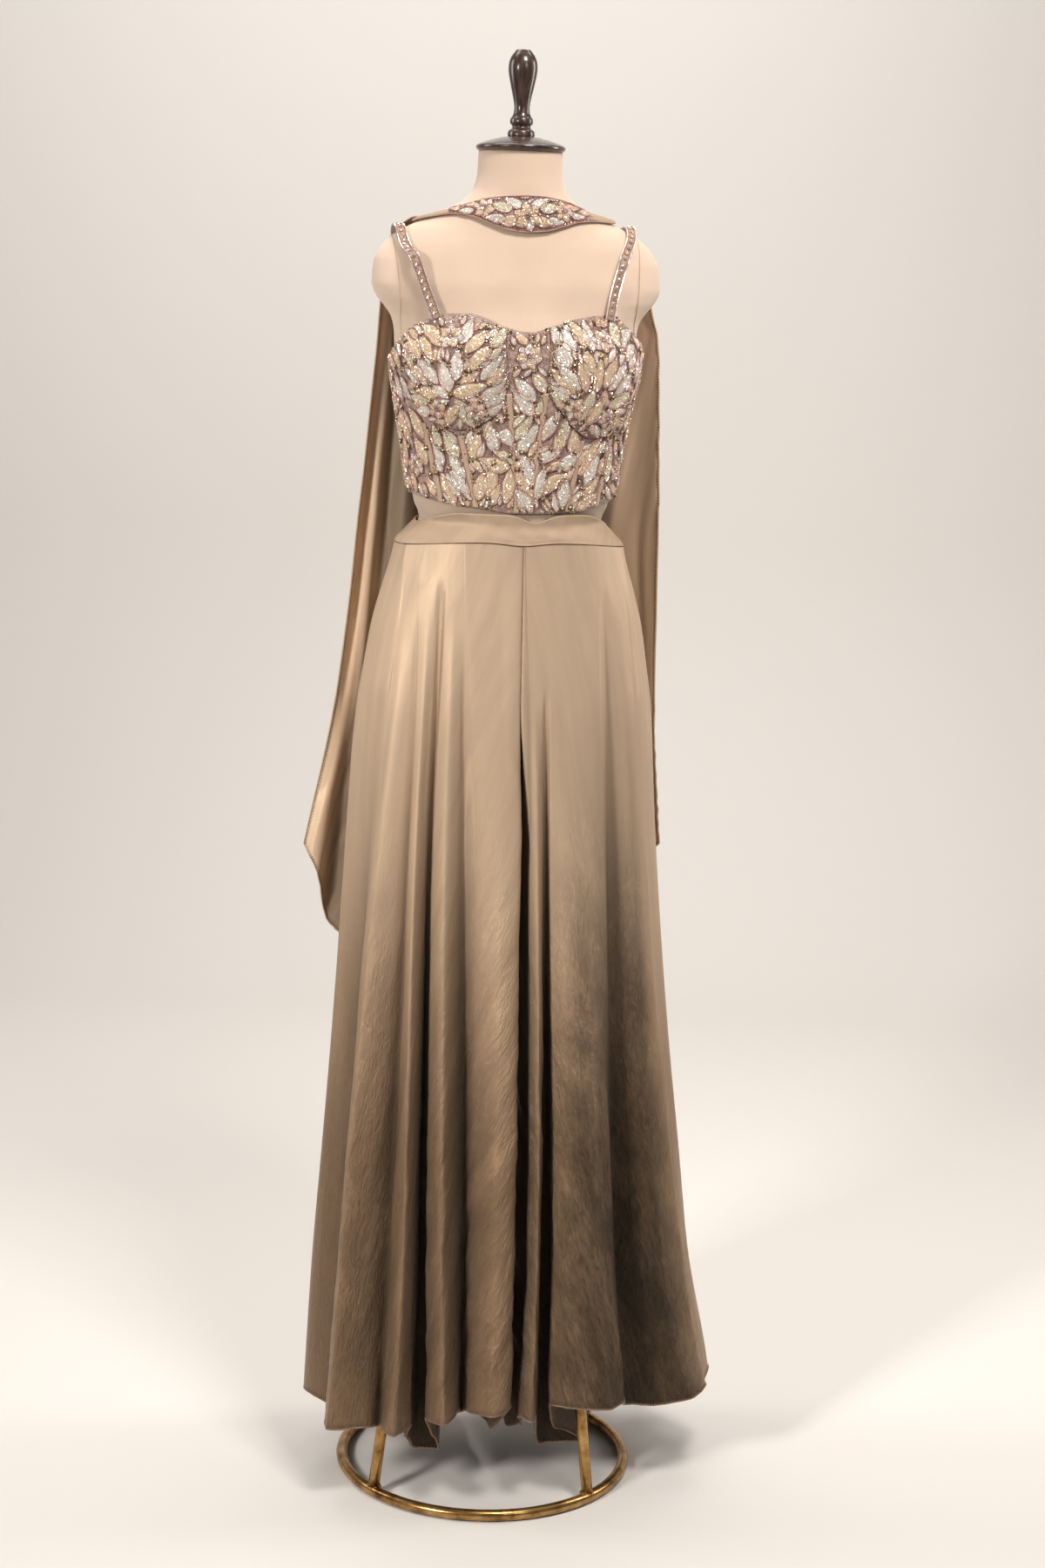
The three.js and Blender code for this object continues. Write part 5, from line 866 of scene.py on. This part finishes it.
def waistband():
    for name, d0, d1 in (("waistband_front", -90, 90), ("waistband_back", 90, 270)):
        nu, nv = 140, 22
        U, V = np.meshgrid(np.linspace(0, 1, nu), np.linspace(0, 1, nv), indexing="ij"); d = mix(d0 + GAP, d1 - GAP, U); th = d * D2R
        dd = np.where(d > 180, d - 360, d)
        top = np.where(np.abs(dd) < 90, 1196 + 15 * sstep(84, 40, np.abs(dd)) - 9 * np.exp(-(((dd - 9) / 11) ** 2)), 1197)
        x = band_at(th, np.full_like(th, 1172.0))[..., 0]
        z = mix(seam_z(np.clip(x, -137, 137)) + .5, top, V)
        N = body_normals(band_at, th, z); P = band_at(th, z)
        P = P + N * ((0.5 * waves(5, d * 2.0, z, 6, 40, 30) * sstep(0, .2, V) * sstep(1, .8, V)) - 0.55 * np.exp(-((V - .06) / .05) ** 2))[..., None]
        o = shell(name + "_look", P, N, 1.8, [BAND], uv_off=(.4, .2)); fit(o, "taupe_satin", name)
        cut(o, float(arc(P, 0)[-1, 0]) * MM, 0.045, area_of(P), "stretched", ["form_torso"])
waistband()

# ------------------------------------------------------------------ choker and drape
def choker_at(d, v):
    th = d * D2R; zl = tab(CHOKER, d, 1); zu = tab(CHOKER, d, 2); z = mix(zl, zu, v)
    up = 3.5 * sstep(60, 84, np.abs(d)); rU = section_r(FORM, th, zu) + 5 + up; rL = section_r(FORM, th, zl) + 5.2 + up
    r = np.maximum(mix(rL, rU, v) + 3 * np.sin(np.pi * v), section_r(FORM, th, z) + 5 + up); return polar(r, th, z)
def choker_frame(d, v):
    P = choker_at(d, v); n = np.cross(choker_at(d + .2, v) - choker_at(d - .2, v), choker_at(d, v + .01) - choker_at(d, v - .01))
    n /= np.linalg.norm(n, axis=-1, keepdims=True); hint = np.stack([P[..., 0], P[..., 1], np.full_like(d, 60.0)], -1)
    return P, n * np.sign((n * hint).sum(-1, keepdims=True))
def choker():
    U, V = np.meshgrid(np.linspace(0, 1, 120), np.linspace(0, 1, 20), indexing="ij"); P, N = choker_frame(mix(-100, 98, U), V)
    d = mix(-100, 98, U); o = shell("choker_band_look", P, N, 2.0, [DUSTY, BAND], uv_off=(2.2, 0)); fit(o, "embroidery", "choker_band")
    mid = np.abs(d[:-1, :-1] + 3.5) > 69.5; m = np.concatenate([mid.reshape(-1), mid.reshape(-1), np.zeros(len(o.data.polygons) - 2 * mid.size, bool)]).astype(np.int32); o.data.polygons.foreach_set("material_index", m)
    w = choker_work(); cut(o, float(arc(P, 0)[-1, 0]) * MM, .056, area_of(P), "stretched", ["form_torso"], [w])
def choker_work():
    """rosettes and leaves on the middle, scalloped piping; the satin tails over the shoulders are the band's own ends,
    made in choker()
    """
    U, V = np.meshgrid(np.linspace(0, 1, 150), np.linspace(0, 1, 40), indexing="ij"); P, N = choker_frame(mix(-72, 66, U), V)
    F = Field(P, N); nu, nv = P.shape[:2]; bag = Bag(); mats = [EMB[n] for n in EMB_LIST]; rr = np.random.default_rng(77); hz = lambda i: F.U[min(int(i), nu - 1), nv // 2]
    def put(frac, vv, ang, L, W, kind): leaf(bag, F, (frac * (nu - 1), vv * (nv - 1)), ang, L, W, kind, rr, 1.0)
    rosette(bag, F, (.52 * (nu - 1), .42 * (nv - 1)), 15.5, rr, 6)
    for sd in (-1, 1):
        f = lambda t: .52 + sd * t * (1.1 if sd < 0 else .98)
        put(f(.095), .78, math.pi / 2 - sd * 1.15, 27, 12, 1); put(f(.12), .28, math.pi / 2 + sd * (-1.85), 28, 12, 0); put(f(.175), .66, math.pi / 2 - sd * 1.5, 27, 12.5, 2); put(f(.205), .24, math.pi / 2 - sd * 1.75, 25, 11, 1)
        rosette(bag, F, (f(.285) * (nu - 1), .54 * (nv - 1)), 12.0, rr, 6)
        put(f(.36), .68, math.pi / 2 - sd * 1.45, 22, 9, 0); put(f(.375), .28, math.pi / 2 - sd * 1.7, 21, 8, 1); put(f(.435), .5, math.pi / 2 - sd * 1.57, 16, 6.5, 0)
    placed = []
    # piping: scallops on the lower and upper edge
    tt = F.U[:, 0]; n = 260
    for edge, lift in ((0, 1), (1, -1)):
        q = np.linspace(0, 1, n); amp = 3.2; ph = np.abs(np.sin(q * np.pi * 9)); j = np.where(edge == 0, .03 + .09 * ph, .97 - .09 * ph) * (nv - 1)
        Pc, Nc = F.at(q * (nu - 1), j); cord(bag, Pc + Nc * .9, Nc, .85, EI["bead_mauve"])
        j2 = np.full(n, (.015 if edge == 0 else .985) * (nv - 1)); Pc, Nc = F.at(q * (nu - 1), j2); cord(bag, Pc + Nc * .8, Nc, .8, EI["thread_rose"])
    for k in range(46):
        q = (k + .5) / 46
        for j in (.075, .925):
            Pc, Nc = F.at(np.array([q * (nu - 1)]), np.array([j * (nv - 1)])); bead(bag, Pc[0] + Nc[0] * .6, Nc[0], .95, EI["bead_silver"] if k % 2 else EI["stone_gold"])
    for _ in range(900):
        i, j = rr.uniform(2, nu - 3), rr.uniform(.1, .9) * (nv - 1); Pc, Nc = F.at(np.array([i]), np.array([j])); (sequin(bag, Pc[0] + Nc[0] * .45, Nc[0], 1.0, EI["thread_silver"] if rr.random() < .5 else EI["bead_mauve"], .35, rr))
    o = bag.make("choker_embroidery", mats, smooth=False); fit(o, "embroidery"); return o
choker()
def strap_path(side, f, b, X):
    k1, k2, k3 = (.34, .72, .9) if side < 0 else (.18, .51, .75)
    F0 = corset_at(np.array([f * D2R]), np.array([float(top_z(f)) - 5]))[0]; B0 = corset_at(np.array([b * D2R]), np.array([float(top_z(b)) - 5]))[0]
    dz = -8 if side < 0 else -3
    rows = np.array([[0, F0[0] + side * 1.1, F0[1] - 1.9, F0[2]], [1, mix(F0[0], X, k1), F0[1] + 6, 1462], [2, mix(F0[0], X, k2), -66, 1500], [3, mix(F0[0], X, k3), -42, 1519 + dz], [4, X, -10, 1541.5 + dz], [5, X, 20, 1540 + dz],
        [6, mix(X, B0[0], .12), 52, 1520 + dz], [7, mix(X, B0[0], .35), 84, 1496], [8, mix(X, B0[0], .62), 101, 1450], [9, mix(X, B0[0], .85), B0[1] + 5.5, 1405], [10, B0[0], B0[1] + 3.2, B0[2]]], float)
    n = 120; v = np.linspace(0, 1, n); p = np.stack([tab(rows, v * 10, c) for c in (1, 2, 3)], -1)
    for k in range(n):
        for _ in range(60):
            hit = False
            for w in (-7, 0, 7):
                x = p[k, 0] + w; r = math.hypot(x, p[k, 1]); th = math.atan2(x, -p[k, 1])
                if p[k, 2] < 1600 and r < float(section_r(FORM, np.array(th), np.array(p[k, 2]))) + 2.6: hit = True
            if not hit: break
            th = math.atan2(p[k, 0], -p[k, 1]); p[k, 0] += math.sin(th) * .6; p[k, 1] -= math.cos(th) * .6; p[k, 2] += 1.0
    ker = np.exp(-np.linspace(-2, 2, 11) ** 2); ker /= ker.sum(); q = np.pad(p, ((5, 5), (0, 0)), mode="reflect", reflect_type="odd"); return np.stack([np.convolve(q[:, c], ker, "valid") for c in range(3)], -1)
def straps():
    mats = [EMB[n] for n in EMB_LIST]
    for name, side, f, b, X in (("strap_right", -1, -53, -137, -140), ("strap_left", 1, 49.5, 137, 130)):
        c = strap_path(side, f, b, X); n = len(c); v = np.linspace(0, 1, n); t = np.gradient(c, axis=0); t /= np.linalg.norm(t, axis=1, keepdims=True)
        w = np.stack([np.ones(n), side * mix(.28, -.25, sstep(.4, .6, v)), np.zeros(n)], -1); w -= t * (w * t).sum(1, keepdims=True); w /= np.linalg.norm(w, axis=1, keepdims=True)
        N = np.cross(t, w); hint = np.stack([np.zeros(n), mix(-1, 1, sstep(.3, .7, v)), 1.2 * np.sin(np.pi * v)], -1); N *= np.sign((N * hint).sum(1, keepdims=True))
        k = np.linspace(-1, 1, 7); P = c[:, None] + w[:, None] * (k * 6.0)[None, :, None]; NN = np.repeat(N[:, None], 7, 1)
        P = P + NN * (1.6 + .25 * (1 - k * k))[None, :, None]
        o = shell(name + "_look", P, NN, 1.5, [DUSTY], uv_off=(3 + side, 0)); fit(o, "embroidery", name)
        bag = Bag(); s_ = arc(c[:, None], 0)[:, 0]; tot = s_[-1]
        at = lambda d, G: np.array([np.interp(d, s_, G[:, q]) for q in range(3)])
        for sd in (-1, 1):      # silver bead lines, mauve cord beside them
            d = 1.0
            while d < tot - 1: bead(bag, at(d, c) + at(d, w) * sd * 5.2 + at(d, N) * 1.9, at(d, N), 1.05, EI["bead_silver"]); d += 1.85
            dd = np.linspace(1, tot - 1, 90); Pc = np.stack([at(q, c) + at(q, w) * sd * 3.75 + at(q, N) * 1.9 for q in dd]); cord(bag, Pc, np.stack([at(q, N) for q in dd]), .55, EI["bead_mauve"])
        d = 6.0; i = 0
        while d < tot - 5:      # chain of stones, waisted by short bars
            n_, x_ = at(d, N), at(d, w); stone(bag, at(d, c) + n_ * 1.95, n_, x_, 5.6, 0, EI["stone_gold"])
            for sd in (-1, 1): p0 = at(d + 2.6, c) + at(d + 2.6, w) * sd * 2.4 + at(d + 2.6, N) * 2; p1 = at(d + 7.2, c) + at(d + 7.2, w) * -sd * 2.4 + at(d + 7.2, N) * 2; cord(bag, np.linspace(p0, p1, 6), np.repeat(n_[None], 6, 0), .5, EI["thread_rose"])
            bead(bag, at(d + 4.9, c) + at(d + 4.9, N) * 2.1, at(d + 4.9, N), 1.15, EI["bead_silver"]); d += 9.8; i += 1
        eo = bag.make(name + "_beads", mats, smooth=False); fit(eo, "embroidery")
        cut(o, .0125, tot * MM, area_of(P), "stretched", ["form_torso", "corset_cup_" + name[6:]], [eo])
straps()
def drape_points(u, v):
    c = [None] + [tab(DRAPE, np.clip(u, 0, 1), i) for i in range(1, 12)]
    t = [0, .08, .17, .27, .36, .62, .80, 1]
    X = [c[1], mix(c[1], c[4], .25), mix(c[1], c[4], .6), mix(c[1], c[4], .85), c[4], c[5], c[6], c[7]]
    Y = [c[2], mix(c[2], c[8], .34), mix(c[2], c[8], .72), mix(c[2], c[8], .94), c[8], mix(c[8], c[9], .6), mix(c[9], c[10], .35), c[10]]
    Zs = [c[3], c[3] - 7, c[3] - 36, c[3] - 82, 1410 + 0 * u, 1195 + 0 * u, 975 + 0 * u, c[11]]
    def interp(vals):
        Y_ = np.stack([np.broadcast_to(a, u.shape) for a in vals], 0); x = np.array(t)
        sl = np.diff(Y_, axis=0) / np.diff(x).reshape(-1, *([1] * u.ndim)); m = np.zeros_like(Y_); m[0] = sl[0]; m[-1] = sl[-1]
        a, b = sl[:-1], sl[1:]
        with np.errstate(divide="ignore", invalid="ignore"): m[1:-1] = np.where(a * b > 0, 2 * a * b / (a + b), 0)
        i = np.clip(np.searchsorted(x, v, side="right") - 1, 0, len(x) - 2); h = x[i + 1] - x[i]; q = (v - x[i]) / h
        g = lambda M, k: np.take_along_axis(M, k[None], 0)[0]
        return g(Y_, i) * (1 + 2 * q) * (1 - q) ** 2 + g(m, i) * h * q * (1 - q) ** 2 + g(Y_, i + 1) * q * q * (3 - 2 * q) + g(m, i + 1) * h * q * q * (q - 1)
    p = np.stack([interp(X), interp(Y), interp(Zs)], -1)
    def need(rows, off, mask):
        th = np.arctan2(p[..., 0], -p[..., 1]); r = np.hypot(p[..., 0], p[..., 1]); R = section_r(rows, th, p[..., 2]) + off
        k = np.where(mask & (r < R), R / r, 1.0); p[..., 0] *= k; p[..., 1] *= k
    for _ in range(3):
        need(FORM, np.where(p[..., 2] > 1440, 9.0, 6.0), p[..., 2] > 1100)
        for _ in range(30):
            th = np.arctan2(p[..., 0], -p[..., 1]); hit = (p[..., 2] > 1360) & (np.hypot(p[..., 0], p[..., 1]) < section_r(FORM, th, p[..., 2]) + 8.5)
            p[..., 2] += np.where(hit, .8, 0)
        need(TORSO, 6.5, (p[..., 2] > 1100) & (p[..., 2] < 1445))
    over = sstep(1480, 1510, p[..., 2]) * np.exp(-((np.abs(p[..., 0]) - 133) / 17) ** 2); p[..., 1] += 2 * over; p[..., 2] += 7.5 * over
    aw = np.where(p[..., 0] < 0, tab(HIPS, p[..., 2], 1), tab(HIPS, p[..., 2], 2))
    yb = hip_y(np.clip(p[..., 0], -tab(HIPS, p[..., 2], 1) * .96, tab(HIPS, p[..., 2], 2) * .96), p[..., 2], True) + 8
    p[..., 1] = np.where((p[..., 2] < 1200) & (p[..., 1] < yb) & (np.abs(p[..., 0]) < aw + 6), yb, p[..., 1])
    return p
def drape():
    nu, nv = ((142, 106))
    U, V = np.meshgrid(np.linspace(0, 1, nu), np.linspace(0, 1, nv), indexing="ij"); P = drape_points(U, V)
    N = grid_normals(P); hint = np.stack([.2 * np.sign(P[..., 0]), np.ones_like(U), np.where(P[..., 2] > 1480, 1.2, 0)], -1)
    N *= np.sign((N * hint).sum(-1, keepdims=True)); sx = arc(P, 0)
    d = 1.6 * waves(41, sx, P[..., 2], 8, 40, 600) * sstep(.2, .5, V) + .8 * waves(42, sx, P[..., 2], 8, 16, 200) * sstep(.2, .4, V)
    P = P + N * np.maximum(d, -1.2)[..., None]
    o = shell("drape_back_look", P, N, 1.0, [DRAPE_SATIN], uv_off=(5.0, 0))
    a_ = np.abs(P[..., 0]) - np.interp(P[..., 2], [400, 800, 1100, 1440], [212, 186, 132, 130]); m_ = sstep(-4, 20, a_)      # painted shade: darker where it lies close behind the body; painted light: lighter further out, most on the left side
    put(o, "fold_shade", (mix(.5, np.where(P[..., 0] < 0, -.42, -.12), m_) + .16 * waves(47, sx, P[..., 2], 6, 26, 500)) * sstep(1490, 1440, P[..., 2]), 0.0); fit(o, "taupe_satin", "drape_back")
    # overlocked edges
    b = Bag(); edges = [P[0], P[-1], P[:, -1]]; ns = [N[0], N[-1], N[:, -1]]
    for e, nn in zip(edges, ns):
        V1, F1 = tube(e - nn * .5, 1.2, 6); b.add(V1, F1, 0)
        tt = arc(e[:, None], 0)[:, 0]; pos = np.arange(1, tt[-1] - 1, 3.2); E = np.stack([np.interp(pos, tt, e[:, j]) for j in range(3)], -1); NN = np.stack([np.interp(pos, tt, nn[:, j]) for j in range(3)], -1)
        T = np.gradient(E, axis=0); T /= np.linalg.norm(T, axis=1, keepdims=True); W = np.cross(T, NN)
        cent = P[nu // 2, nv // 2]
        for q in range(len(E)):
            w = W[q] if np.dot(W[q], cent - E[q]) > 0 else -W[q]
            for sd in (.7, -1.6):
                V2, F2 = tube([E[q] + NN[q] * sd, E[q] + w * 3.4 + T[q] * 1.2 + NN[q] * (sd * .8)], .33, 4); b.add(V2, F2, 1)
    eo = b.make("drape_edge", [DRAPE_SATIN, DARKEDGE]); fit(eo, "taupe_satin")
    cut(o, float(np.max(sx[-1])) * MM, float(arc(P, 1)[nu // 2, -1]) * MM, area_of(P), "hung", ["form_torso", "choker_band"], [eo])
drape()

# ------------------------------------------------------------------ camera, light, floor
PSI, PITCH, ROLL = 10 * D2R, 10.88 * D2R, 1.778 * D2R
def to_object(x, y):
    c, s = math.cos(PSI), math.sin(PSI); return x * c + y * s, -x * s + y * c
def camera():
    cx, cy = to_object(0.025, -3.22)
    right = Vector((1, 0, 0)); up = Vector((0, math.sin(PITCH), math.cos(PITCH))); back = Vector((0, -math.cos(PITCH), math.sin(PITCH)))
    r = right * math.cos(ROLL) + up * math.sin(ROLL); u = up * math.cos(ROLL) - right * math.sin(ROLL)
    M = Matrix((r, u, back)).transposed()
    M = Matrix.Rotation(-PSI, 3, "Z") @ M
    cam = bpy.data.cameras.new("camera"); o = bpy.data.objects.new("camera", cam); scene.collection.objects.link(o)
    cam.sensor_width = 36; cam.lens = 3095 / 1800 * 36
    o.matrix_world = Matrix.Translation((cx + SHIFT[0] * MM, cy + SHIFT[1] * MM, 1.495)) @ M.to_4x4(); scene.camera = o
camera()
def lights():
    w = bpy.data.worlds.new("world"); scene.world = w; w.use_nodes = True
    bg = w.node_tree.nodes["Background"]; bg.inputs[0].default_value = (1.0, 0.975, 0.95, 1); bg.inputs[1].default_value = 0.10
    def area(name, loc, target, size, power, color, sy=None, spread=None):
        l = bpy.data.lights.new(name, "AREA"); l.energy = power; l.size = size; l.color = color
        if sy: l.shape = "RECTANGLE"; l.size_y = sy
        if spread: l.spread = spread
        o = bpy.data.objects.new(name, l); scene.collection.objects.link(o); o.location = loc
        o.rotation_euler = (Vector(target) - Vector(loc)).to_track_quat("-Z", "Y").to_euler()
    area("key", (-2.25, -2.0, 1.9), (0, 0, 0.50), 0.5, 7.6, (1.0, 0.96, 0.90), None, 0.95)
    area("top", (0.35, -1.35, 3.05), (0, 0, 1.35), 0.55, 42, (1.0, 0.96, 0.91))
    area("front", (0.9, -2.9, 2.4), (0, 0, 1.1), 0.8, 9, (1.0, 0.96, 0.92))
    area("rim_left", (-2.1, 0.6, 1.9), (0, 0, 1.0), 0.6, 18, (1.0, 0.95, 0.9), 1.6)
    area("rim_right", (2.0, 0.1, 1.7), (0, 0, 0.9), 0.5, 20, (1.0, 0.94, 0.87), 1.6)
    area("back_wall", (0, 0.9, 3.4), (0, 2.8, 1.2), 2.2, 66, (1.0, 0.97, 0.93))
lights()
def floor():
    m, nt, b = principled("pale_floor", (0.75, 0.72, 0.69), 0.75)
    s = 5.0; back = 3.0; V = []; F = []
    prof = [(-6.0, 0.0), (back - .9, 0.0)] + [(back - .9 + .9 * math.sin(a), .9 - .9 * math.cos(a)) for a in np.linspace(0.1, math.pi / 2, 14)] + [(back, 5.5)]
    for y, z in prof: V += [[-s, y, z], [s, y, z]]
    for i in range(len(prof) - 1): F.append([2 * i, 2 * i + 1, 2 * i + 3, 2 * i + 2])
    me = bpy.data.meshes.new("studio_floor"); me.from_pydata(V, [], F); me.materials.append(m); me.polygons.foreach_set("use_smooth", [True] * len(me.polygons))
    o = bpy.data.objects.new("studio_floor", me); scene.collection.objects.link(o); o.location.z = -0.0005; o.rotation_euler[2] = -PSI
floor()
scene.view_settings.view_transform = "Standard"
